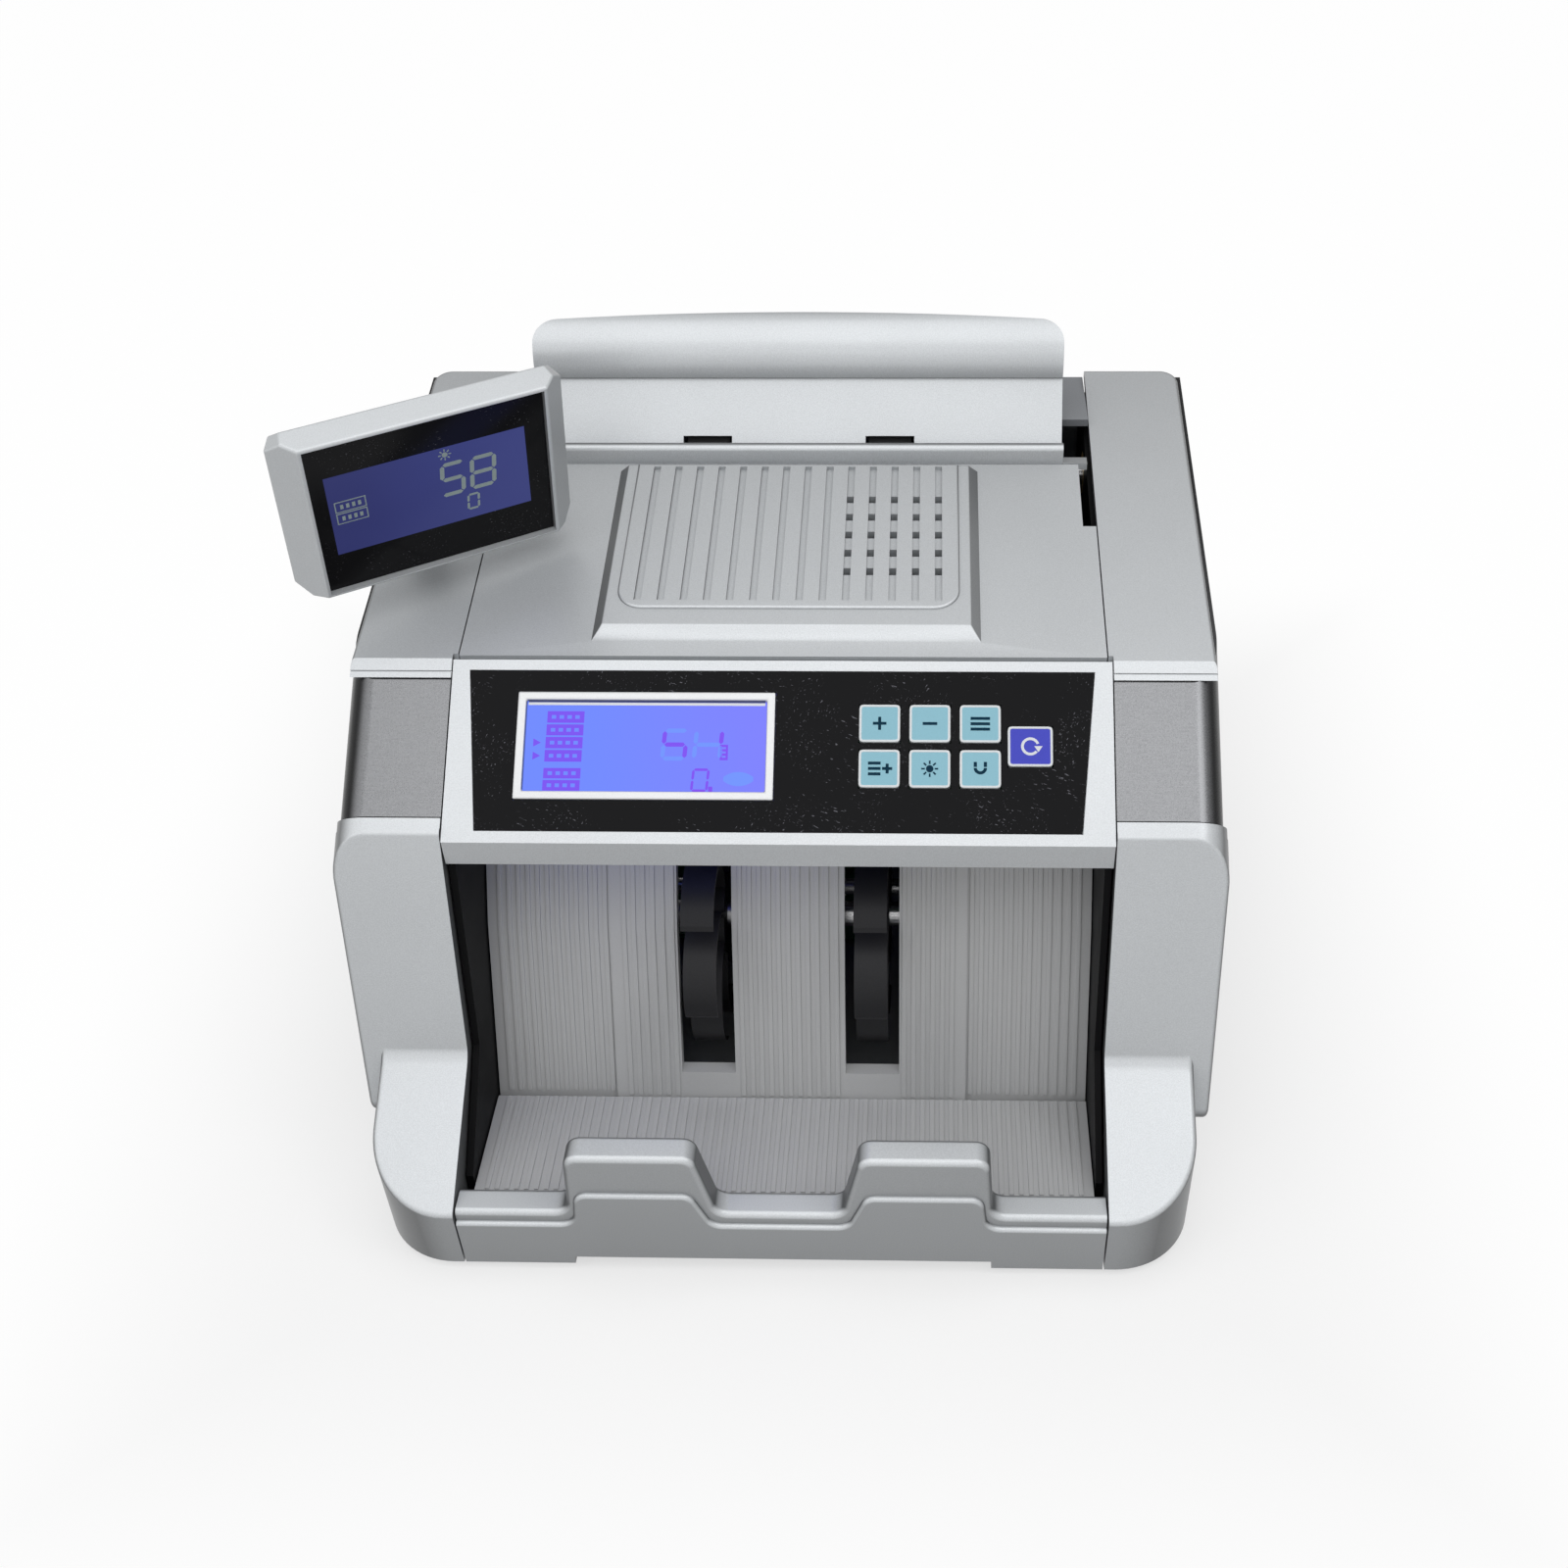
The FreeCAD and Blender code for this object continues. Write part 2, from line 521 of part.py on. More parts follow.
def control_panel():
    slab = box("panel_slab", ("-panel_half", "panel_half"), ("-panel_long", "-0.4"), ("-panel_thick", "0"))
    down_y, down_z = "sin(panel_slope * 1 deg)", "cos(panel_slope * 1 deg)"
    corner = ("-panel_long", "0")
    low = (f"-panel_long - lip_drop * {down_y}", f"-lip_drop * {down_z}")
    low_in = (f"{low[0]} + wall * {down_z}", f"{low[1]} - wall * {down_y}")
    high_in = (f"-panel_long + wall * {down_z}", f"-wall * {down_y}")
    lip = prism("panel_lip", "YZ", [corner, low, low_in, high_in], ("-lip_half", "lip_half"))
    tools = [prism("overlay_seat", "XY", overlay_outline("0.15"), ("-overlay_thick", "1")),
             lcd_block("lcd_hole", "-0.15", ("-panel_thick - 1", "1"))]
    for place in key_places():
        tools.append(key_block(place[0] + "_hole", place, "key_play", ("-panel_thick - 1", "1")))
    on_panel("panel_frame", cut("panel_cut", fuse("panel_body", slab, lip), *tools))
    sheet_form = prism("overlay_form", "XY", overlay_outline("0"), ("-overlay_thick", "-0.1"))
    holes = [key_block(place[0] + "_window", place, "key_play", ("-2", "2")) for place in key_places()]
    holes.append(lcd_block("lcd_window", "-0.15", ("-2", "2")))
    on_panel("panel_overlay", cut("overlay_cut", sheet_form, *holes))
    on_panel("lcd_frame", cut("lcd_rim_cut", lcd_block("lcd_rim_block", "0", ("-panel_thick", "0.7")),
                              lcd_block("lcd_rim_open", "lcd_rim", ("-9", "9"))))
    glass = lcd_block("lcd_glass", "lcd_rim + 0.2", ("-panel_thick - 2", "-0.3"))
    board = lcd_block("lcd_board", "0.2", ("-panel_thick - 3.6", "-panel_thick - 2"))
    on_panel("lcd_module", fuse("lcd_stack", glass, board))
    for place in key_places():
        cap = key_block(place[0] + "_cap", place, "0", ("key_proud - key_deep", "key_proud"))
        on_panel(place[0], rounded(place[0] + "_soft", cap, "1.1", lambda e: runs_along(e, AXIS_Z)))
    height = ("-6.4", "key_proud - key_deep - 0.75")
    pads = [pin(place[0] + "_switch", "3", place[1], place[2], height) for place in key_places()]
    card = box("key_card", ("18", "84"), ("-45", "-9"), ("-8", "-6.4"))
    on_panel("keypad_board", fuse("keypad_stack", card, *pads))


control_panel()


# Centre cover, drawn flat: Y to the rear from its front edge, Z out of its face
def centre_cover():
    sheet_plate = box("lid_plate", ("-lid_half", "lid_half"), ("0.5", "lid_long"), ("-lid_thick", "0"))
    stage = doc.addObject("Part::Loft", "lid_stage")
    wide = ("stage_x - stage_half", "stage_x + stage_half")
    foot = outline("stage_foot", "XY", rectangle(wide, ("stage_y1", "stage_y2")))
    head = outline("stage_head", "XY", rectangle((wide[0] + " + stage_side", wide[1] + " - stage_side"),
                                                ("stage_y1 + stage_front", "stage_y2 - 0.6")))
    bind(head, {"Placement.Base.z": "stage_high"})
    stage.Sections = [foot, head]
    stage.Solid = True
    stage.Ruled = True
    plate = block("lid_raised", ("stage_x - plate_half", "stage_x + plate_half"), ("plate_y1", "plate_y2"),
                  ("0", "stage_high + plate_high"))
    front = num("plate_y1")
    raised = rounded("lid_raised_soft", plate, "plate_corner",
                     lambda e: runs_along(e, AXIS_Z) and near(e, y=front))
    crown = num("stage_high + plate_high")
    raised = rounded("lid_raised_rim", raised, "lid_edge", lambda e: near(e, z=crown))
    shoulder = num("stage_high")
    mound = rounded("lid_stage_rim", stage, "lid_edge",
                    lambda e: near(e, z=shoulder) or not near(e, z=0, slack=0.2))
    solid = fuse("lid_solid", sheet_plate, mound, raised)
    tools = []
    crest = "stage_high + plate_high"
    for index in range(14):
        middle = f"stage_x + ({index} - 6.5) * groove_pitch"
        wide = (f"{middle} - groove_wide / 2", f"{middle} + groove_wide / 2")
        hole = (f"{middle} - vent_wide / 2", f"{middle} + vent_wide / 2")
        tools.append(box(f"lid_groove_{index}", wide, ("groove_y1", "groove_y2"),
                         (f"{crest} - groove_deep", f"{crest} + 1")))
        for row in range(5 if index > 8 else 0):
            tools.append(box(f"lid_vent_{index}_{row}", hole,
                             (f"vent_y1 + {row} * vent_pitch", f"vent_y1 + {row} * vent_pitch + vent_long"),
                             ("-lid_thick - 1", f"{crest} + 1")))
    for name, sign in SIDES:
        tools.append(box("lid_notch_" + name, span(sign, "notch_x", "lid_half + 1"),
                         ("notch_y", "lid_long + 1"), ("-lid_thick - 1", "1")))
    on_top("centre_cover", cut("lid_cut", solid, *tools))


centre_cover()


# Hopper: a fence behind the centre cover and a leaning back rest with a rolled top
def hopper():
    deep = ("fence_y", "fence_y + fence_thick")
    fence = block("fence_bar", ("-rest_half", "rest_half"), deep, ("fence_low", "fence_high"))
    crest = num("fence_high")
    soft = rounded("fence_soft", fence, "1.6", lambda e: runs_along(e, AXIS_X) and near(e, z=crest))
    ears = [box("fence_ear_" + name, span(sign, "rest_half - 4", "plate_in"), deep,
                ("fence_low", "fence_low + 2.4")) for name, sign in SIDES]
    finish("hopper_fence", fuse("fence_whole", soft, *ears))

    width = ("-rest_half", "rest_half")
    face = [
        ("-rest_half", "rest_low"), ("rest_half", "rest_low"),
        ("rest_half", "rest_high", "0", "rest_high + rest_crown"), ("-rest_half", "rest_high"),
    ]
    blank = prism("rest_face", "XY", face, ("-rest_thick - 2", "roll_proud + 2"))
    top_y = num("rest_high")
    blank = rounded("rest_face_soft", blank, "rest_corner",
                    lambda e: runs_along(e, AXIS_Z) and near(e, y=top_y))
    section = [
        ("rest_low", "-rest_thick"), ("rest_high + 4", "-rest_thick"),
        ("rest_high + 4", "0.4", "(roll_low + rest_high + 4) / 2", "roll_proud"),
        ("roll_low", "1.2"), ("roll_low", "0"), ("rest_low", "0"),
    ]
    panel = common("rest_panel", blank, prism("rest_section", "YZ", section, width))
    windows = [box(f"rest_window_{name}", (f"{sign} * 30 - 8", f"{sign} * 30 + 8"), ("rest_low - 1", "2.8"),
                   ("-rest_thick - 3", "1")) for name, sign in SIDES]
    on_rest("hopper_back_rest", cut("rest_cut", panel, *windows))


hopper()


# Front lip of the stacker pocket: two tabs with a finger gap between them
def lip_outline(flat, tab, inset):
    """Half-turn outline of the lip, left to right along the top."""
    left = [("-lip_half", "base_z"), ("lip_half", "base_z"), ("lip_half", flat), (f"tab_out - {inset}", flat),
            (f"tab_out - 1.5 - {inset}", tab), (f"tab_in + {inset}", tab), (f"tab_foot + {inset}", flat)]
    right = [(f"-tab_foot - {inset}", flat), (f"-tab_in - {inset}", tab), (f"-tab_out + 1.5 + {inset}", tab),
             (f"-tab_out + {inset}", flat), ("-lip_half", flat)]
    return left + right


def front_lip():
    back = prism("lip_back", "XZ", lip_outline("lip_flat", "tab_top", "0"), ("step_deep", "lip_deep"))
    front = prism("lip_front", "XZ", lip_outline("step_flat", "step_tab", "1.5"), ("0", "step_deep"))
    edge = num("lip_half") - 1
    low = num("base_z") + 1
    inner = lambda e: runs_along(e, AXIS_Y) and abs(e.CenterOfMass.x) < edge and e.CenterOfMass.z > low
    soft_back = rounded("lip_back_soft", back, "lip_round", inner)
    soft_front = rounded("lip_front_soft", front, "lip_round", inner)
    face, step, rear = 0.0, num("step_deep"), num("lip_deep")
    back_low, front_low = num("lip_flat") - 0.1, num("step_flat") - 0.1
    soft_back = rounded("lip_back_rim", soft_back, "lip_edge",
                        lambda e: e.CenterOfMass.z > back_low and (near(e, y=step) or near(e, y=rear)))
    soft_front = rounded("lip_front_rim", soft_front, "step_edge",
                         lambda e: e.CenterOfMass.z > front_low and near(e, y=face))
    arch = box("lip_arch", ("-arch_half", "arch_half"), ("-1", "lip_deep + 1"),
               ("base_z - 1", "base_z + arch_high"))
    finish("front_lip", cut("lip_cut", fuse("lip_body", soft_back, soft_front), arch))


front_lip()


# Stacker pocket: a floor and a leaning back wall with slots for the finger wheels
def stacker_pocket():
    floor = [("floor_y1", "floor_z - 2"), ("floor_y1", "floor_z + 1.5"),
             ("wall_y1 - 1.5", "floor_z"), ("wall_y1 - 1.5", "floor_z - 2.4")]
    finish("stacker_floor", prism("floor_plate", "YZ", floor, ("-pocket_half", "pocket_half")))

    def wall_profile(front, back):
        heights = ("floor_z - 2", "wall_z2", "wall_z3")
        near_side = [(f"wall_y{i} - {front}", z) for i, z in enumerate(heights, start=1)]
        lower = ("floor_z - 2", "wall_z2 - 1", "wall_z3 - 1")
        far_side = [(f"wall_y{i} + {back}", z) for i, z in enumerate(lower, start=1)]
        return near_side + far_side[::-1]
    plate = prism("wall_plate", "YZ", wall_profile("0", "2.6"), ("-pocket_half", "pocket_half"))
    pad = prism("wall_pad", "YZ", wall_profile("pad_proud", "1"), ("-pad_half", "pad_half"))
    slots = [box("wall_slot_" + name, span(sign, "slot_in", "slot_out"), ("0", "wall_y3 + 9"),
                 ("slot_low", "slot_high")) for name, sign in SIDES]
    finish("stacker_wall", cut("wall_cut", fuse("wall_body", plate, pad), *slots))


stacker_pocket()


# Base tray with four rubber feet
def base():
    sheet_top = "base_z + 2.5"
    tray = box("tray_block", ("-foot_half + 1", "foot_half - 1"), ("foot_rear + 1", "body_rear - 3"),
               ("base_z", "side_z + 4"))
    room = box("tray_room", ("-foot_half + 3.5", "foot_half - 3.5"), ("foot_rear + 3.5", "body_rear - 5.5"),
               (sheet_top, "60"))
    mouth = box("tray_mouth", ("-lip_half", "lip_half"), ("foot_rear", "foot_rear + 9"), (sheet_top, "60"))
    apron = box("tray_apron", ("-lip_half + 0.1", "lip_half - 0.1"), ("lip_deep + gap", "foot_rear + 3"),
                ("base_z", sheet_top))
    finish("base_tray", fuse("tray_whole", cut("tray_cut", tray, room, mouth), apron))
    pads = []
    for name, sign in SIDES:
        pads.append(pin("foot_front_" + name, "8", f"{sign} * 108", "22", ("0", "base_z")))
        pads.append(pin("foot_back_" + name, "8", f"{sign} * 108", "body_rear - 18", ("0", "base_z")))
    finish("rubber_feet", group("feet", *pads))


base()

# Shafts between the frame plates: name, depth, height
SHAFTS = (("feed", "feed_y", "feed_z"), ("drive", "drive_y", "drive_z"), ("press", "press_y", "press_z"),
          ("stack", "stack_y", "stack_z"))


def frame_plates():
    back, behind_lip = "body_rear - 6", "63.5"
    shape = [
        ("16", "base_z + 2.5"), ("16", "24"), ("kink_y + 4", "kink_z"), ("face_y + 2.6", "cheek_top - 2"),
        (behind_lip, "cheek_top - 2"), (behind_lip, slope_z(behind_lip) + " - 4.6"),
        ("103", slope_z("103") + " - 4.6"), ("106", top_plane_z("106") + " - 4.4"),
        (back, top_plane_z("(" + back + ")") + " - 4.4"), (back, "base_z + 2.5"),
    ]
    for name, sign in SIDES:
        blank = prism(f"plate_{name}", "YZ", shape, span(sign, "plate_in", "plate_out"))
        through = span(sign, "plate_in - 1", "plate_out + 1")
        holes = [rod(f"plate_{name}_{shaft}", "bush_r", through, y, z) for shaft, y, z in SHAFTS]
        if sign > 0:
            holes.append(rod("plate_motor_hole", "8", through, "motor_y", "motor_z"))
        finish(f"{name}_frame_plate", cut(f"plate_{name}_cut", blank, *holes))
    bushes = []
    for shaft, y, z in SHAFTS:
        for name, sign in SIDES:
            ring = rod(f"bush_{shaft}_{name}", "bush_r", span(sign, "plate_in", "plate_out"), y, z)
            through = span(sign, "plate_in - 1", "plate_out + 1")
            bore = rod(f"bore_{shaft}_{name}", "shaft_r + run", through, y, z)
            bushes.append(cut(f"bush_{shaft}_{name}_cut", ring, bore))
    finish("shaft_bushes", group("bushes", *bushes))
    rods = [rod(f"tie_{index}", "3", ("-plate_in", "plate_in"), y, z)
            for index, (y, z) in enumerate((("138", "30"), ("228", "96"), ("128", "140")))]
    finish("tie_rods", group("ties", *rods))


frame_plates()


# Rotating shafts, each with its rollers and pulleys
def pair(name, radius, x, half, y, z):
    """Two rollers, one each side of the middle."""
    limits = {side: (f"{sign} * ({x}) - {half}", f"{sign} * ({x}) + {half}") for side, sign in SIDES}
    return [rod(f"{name}_{side}", radius, limits[side], y, z) for side, _ in SIDES]


def shafts():
    reach = ("-plate_out - 1.6", "plate_out + 1.6")
    spindle = rod("feed_spindle", "shaft_r", ("-plate_out - 1.6", "plate_out + 18"), "feed_y", "feed_z")
    pulley = rod("feed_pulley", "9", ("plate_out + 11.4", "plate_out + 17.4"), "feed_y", "feed_z")
    finish("feed_shaft", fuse("feed_axle", spindle, pulley))
    bores = rod("feed_roller_bore", "shaft_r", ("-50", "50"), "feed_y", "feed_z")
    tyres = group("feed_tyre_pair", *pair("feed_tyre", "feed_r", "30", "7", "feed_y", "feed_z"))
    finish("feed_rollers", cut("feed_tyres", tyres, bores))

    spindle = rod("drive_spindle", "shaft_r", ("-plate_out - 10", "plate_out + 18"), "drive_y", "drive_z")
    places = (("motor", "14", ("plate_out + 2.4", "plate_out + 9.4")),
              ("feed", "9", ("plate_out + 11.4", "plate_out + 17.4")),
              ("stack", "12", ("-plate_out - 9.4", "-plate_out - 2.4")))
    pulleys = [rod("drive_pulley_" + name, radius, x, "drive_y", "drive_z") for name, radius, x in places]
    finish("drive_shaft", fuse("drive_axle", spindle, *pulleys))
    bores = rod("drive_roller_bore", "shaft_r", ("-50", "50"), "drive_y", "drive_z")
    tyres = group("drive_tyre_pair", *pair("drive_tyre", "drive_r", "30", "9", "drive_y", "drive_z"))
    finish("drive_rollers", cut("drive_tyres", tyres, bores))

    spindle = rod("press_spindle", "shaft_r", reach, "press_y", "press_z")
    tyres = pair("press_tyre", "press_r", "30", "8", "press_y", "press_z")
    finish("pressure_roller", fuse("press_axle", spindle, *tyres))

    spindle = rod("stack_spindle", "shaft_r", ("-plate_out - 10", "plate_out + 1.6"), "stack_y", "stack_z")
    pulley = rod("stack_pulley", "16", ("-plate_out - 9.4", "-plate_out - 2.4"), "stack_y", "stack_z")
    finish("stacker_shaft", fuse("stack_axle", spindle, pulley))


shafts()


# Finger wheels of the stacker: a hub with eight swept fingers
def finger_wheel(label, sign):
    body = doc.addObject("PartDesign::Body", label + "_body")
    plane = next(f for f in body.Origin.OriginFeatures if f.Role == "YZ_Plane")

    def sketch(name):
        made = body.newObject("Sketcher::SketchObject", name)
        made.AttachmentSupport = [(plane, "")]
        made.MapMode = "FlatFace"
        return made

    def circle(made, radius):
        index = made.addGeometry(Part.Circle(Vector(), AXIS_Z, num(radius)))
        made.addConstraint(Sketcher.Constraint("Coincident", index, 3, -1, 1))
        number = made.addConstraint(Sketcher.Constraint("Radius", index, num(radius)))
        bind(made, {f"Constraints[{number}]": radius})

    def pad(made, name):
        feature = body.newObject("PartDesign::Pad", name)
        feature.Profile = made
        bind(feature, {"Length": "wheel_wide"})
        return feature

    hub = sketch(label + "_hub_outline")
    circle(hub, "stack_hub")
    circle(hub, "shaft_r")
    pad(hub, label + "_hub")
    blade = sketch(label + "_blade_outline")
    inner, outer = num("stack_hub") - 1.5, num("stack_r")
    root, tip = Vector(inner, 0, 0), Vector(outer * math.cos(0.9), outer * math.sin(0.9), 0)
    waist = Vector(0.72 * outer * math.cos(0.22), 0.72 * outer * math.sin(0.22), 0)
    lift = Vector(-1.0, 1.8, 0)
    blade.addGeometry(Part.Arc(root, waist, tip))
    blade.addGeometry(Part.Arc(root + lift, waist + lift, tip * 0.985 + Vector(-1.3, 0.9, 0)))
    blade.addGeometry(Part.LineSegment(root, root + lift))
    blade.addGeometry(Part.LineSegment(tip, tip * 0.985 + Vector(-1.3, 0.9, 0)))
    blade_pad = pad(blade, label + "_blade")
    pattern = body.newObject("PartDesign::PolarPattern", label + "_blades")
    pattern.Originals = [blade_pad]
    pattern.Axis = (hub, ["N_Axis"])
    pattern.Angle = 360
    pattern.Occurrences = 8
    body.Tip = pattern
    finish_at(label, body, f"({sign} * wheel_x - wheel_wide / 2)", "stack_y", "stack_z", "0")


for side_name, side_sign in SIDES:
    finger_wheel(f"{side_name}_finger_wheel", side_sign)


# Motor and belts
def motor():
    barrel = rod("motor_barrel", "motor_r", ("42", "plate_in"), "motor_y", "motor_z")
    boss = rod("motor_boss", "7", ("34", "42"), "motor_y", "motor_z")
    hollow = rod("motor_bore", "3.2", ("60", "plate_in + 1"), "motor_y", "motor_z")
    finish("motor", cut("motor_cut", fuse("motor_case", barrel, boss), hollow))
    shaft = rod("motor_spindle", "3", ("61", "plate_out + 10"), "motor_y", "motor_z")
    wheel = rod("motor_wheel", "9", ("plate_out + 2.4", "plate_out + 9.4"), "motor_y", "motor_z")
    finish("motor_pulley", fuse("motor_rotor", shaft, wheel))


def belt_face(centres, radii):
    """Flat loop round two circles, as a face in the YZ plane."""
    (a, b), (ra, rb) = centres, radii
    line = b - a
    turn = math.atan2(line.z, line.y)
    tilt = math.acos((ra - rb) / line.Length)

    def at(centre, radius, angle):
        return centre + Vector(0, radius * math.cos(angle), radius * math.sin(angle))
    near_high, far_high = at(a, ra, turn + tilt), at(b, rb, turn + tilt)
    near_low, far_low = at(a, ra, turn - tilt), at(b, rb, turn - tilt)
    edges = [Part.LineSegment(near_high, far_high), Part.Arc(far_high, at(b, rb, turn), far_low),
             Part.LineSegment(far_low, near_low), Part.Arc(near_low, at(a, ra, turn + math.pi), near_high)]
    return Part.Face(Part.Wire([edge.toShape() for edge in edges]))


def belt(label, first, second, radii, x):
    """A flat belt round two pulleys, clear of both."""
    low, high = num(x[0]), num(x[1])
    centres = [Vector(low, num(f"{name}_y"), num(f"{name}_z")) for name in (first, second)]
    inside = [radius + num("belt_gap") for radius in radii]
    outside = [radius + num("belt_thick") for radius in inside]
    along = Vector(high - low, 0, 0)
    obj = doc.addObject("Part::Feature", label + "_loop")
    obj.Shape = belt_face(centres, outside).extrude(along).cut(belt_face(centres, inside).extrude(along))
    finish(label, obj)


motor()
belt("motor_belt", "motor", "drive", (9, 14), ("plate_out + 3", "plate_out + 9"))
belt("feed_belt", "drive", "feed", (9, 9), ("plate_out + 12", "plate_out + 17"))
belt("stacker_belt", "drive", "stack", (12, 16), ("-plate_out - 9", "-plate_out - 3"))


# Note guides, sensors and electronics between the frame plates
def slanted(name, near_point, far_point, thick, half):
    """A plate across the machine along a straight line."""
    (y1, z1), (y2, z2) = near_point, far_point
    corners = [(y1, z1), (y2, z2), (y2, f"{z2} + {thick}"), (y1, f"{z1} + {thick}")]
    return prism(name, "YZ", corners, (f"-({half})", half))


def electronics():
    guide = slanted("guide_upper", ("106", "109"), ("151", "118.5"), "2", "plate_in - 0.4")
    finish("upper_note_guide", guide)
    finish("sensor_board", box("sensor_card", ("-60", "60"), ("127", "148"), ("121.5", "123.1")))
    tube = rod("lamp_tube", "4", ("-62", "62"), "118", "128")
    caps = [box("lamp_cap_" + name, span(sign, "62", "70"), ("112", "124"), ("122", "134"))
            for name, sign in SIDES]
    finish("lamp", fuse("lamp_whole", tube, *caps))
    card = box("main_card", ("-88", "24"), ("132", "178"), ("10", "11.6"))
    chips = [box("chip_main", ("-50", "-30"), ("144", "164"), ("11.6", "14")),
             box("chip_power", ("-20", "-2"), ("142", "162"), ("11.6", "24")),
             pin("chip_can", "6", "-70", "152", ("11.6", "26")),
             pin("chip_can_2", "5", "10", "167", ("11.6", "24"))]
    legs = [pin(f"card_leg_{x}_{y}", "3", f"{x - 82}", f"{y}", ("base_z + 2.5", "10"))
            for x in (0, 100) for y in (138, 172)]
    finish("main_board", fuse("main_stack", card, *chips, *legs))
    core = box("transformer_core", ("-70", "-22"), ("186", "222"), ("base_z + 2.5", "44"))
    coil = box("transformer_coil", ("-60", "-32"), ("182", "226"), ("10", "39"))
    finish("transformer", fuse("transformer_whole", core, coil))


electronics()


# Rear cover with the mains inlet and the rocker switch
def rear():
    across, through = ("-cover_in + gap", "cover_in - gap"), ("body_rear - 10", "body_rear + 10")
    plate = box("rear_plate", across, ("body_rear - wall", "body_rear"), ("8", "rear_top"))
    deck = box("rear_deck", across, ("210", "body_rear"), ("rear_top - wall", "rear_top"))
    hole = box("inlet_hole", ("48", "76"), through, ("30", "50.4"))
    window = box("switch_hole", ("22", "36"), through, ("29", "51"))
    slots = [box(f"rear_slot_{i}", ("-70", "-10"), through, (f"60 + {i} * 7", f"63 + {i} * 7"))
             for i in range(7)]
    finish("rear_cover", cut("rear_cut", fuse("rear_shell", plate, deck), hole, window, *slots))

    flange = box("inlet_flange", ("45", "79"), ("body_rear", "body_rear + 2"), ("27.4", "53"))
    tub = box("inlet_tub", ("48.2", "75.8"), ("body_rear - 20", "body_rear"), ("30.2", "50.2"))
    well = box("inlet_well", ("50", "74"), ("body_rear - 16", "body_rear + 3"), ("32.2", "48.2"))
    blades = [box(f"inlet_blade_{x}", (f"{x} - 1", f"{x} + 1"), ("body_rear - 17", "body_rear - 3"),
                  (f"{z} - 2", f"{z} + 2")) for x, z in ((55, 38), (62, 42.4), (69, 38))]
    hollow = cut("inlet_cut", fuse("inlet_shell", flange, tub), well)
    finish("power_inlet", fuse("inlet_whole", hollow, *blades))

    rim = box("switch_rim", ("20", "38"), ("body_rear", "body_rear + 1.6"), ("27", "53"))
    case = box("switch_case", ("22.2", "35.8"), ("body_rear - 14", "body_rear"), ("29.2", "50.8"))
    room = box("switch_room", ("23.6", "34.4"), ("body_rear - 12", "body_rear + 3"), ("30.6", "49.4"))
    finish("switch_frame", cut("switch_cut", fuse("switch_shell", rim, case), room))
    rocker = [("-5", "-6"), ("4.6", "-8.3"), ("3.4", "0"), ("4.6", "8.3"), ("-5", "6")]
    lever = prism("rocker_form", "YZ", rocker, ("24", "34"))
    finish_at("power_rocker", lever, "0", "rocker_y", "rocker_z", "-rocker_tilt")
    heads = [(f"{sign} * 90", z) for _, sign in SIDES for z in ("16", "158")]
    screws = []
    for index, (x, z) in enumerate(heads):
        head = doc.addObject("Part::Cylinder", f"screw_{index}")
        head.Placement = Placement(Vector(), Rotation(AXIS_X, -90))
        screws.append(bind(head, {"Radius": "3", "Height": "1.8", **place_at(x, "body_rear", z)}))
    finish("cover_screws", group("screws", *screws))


rear()


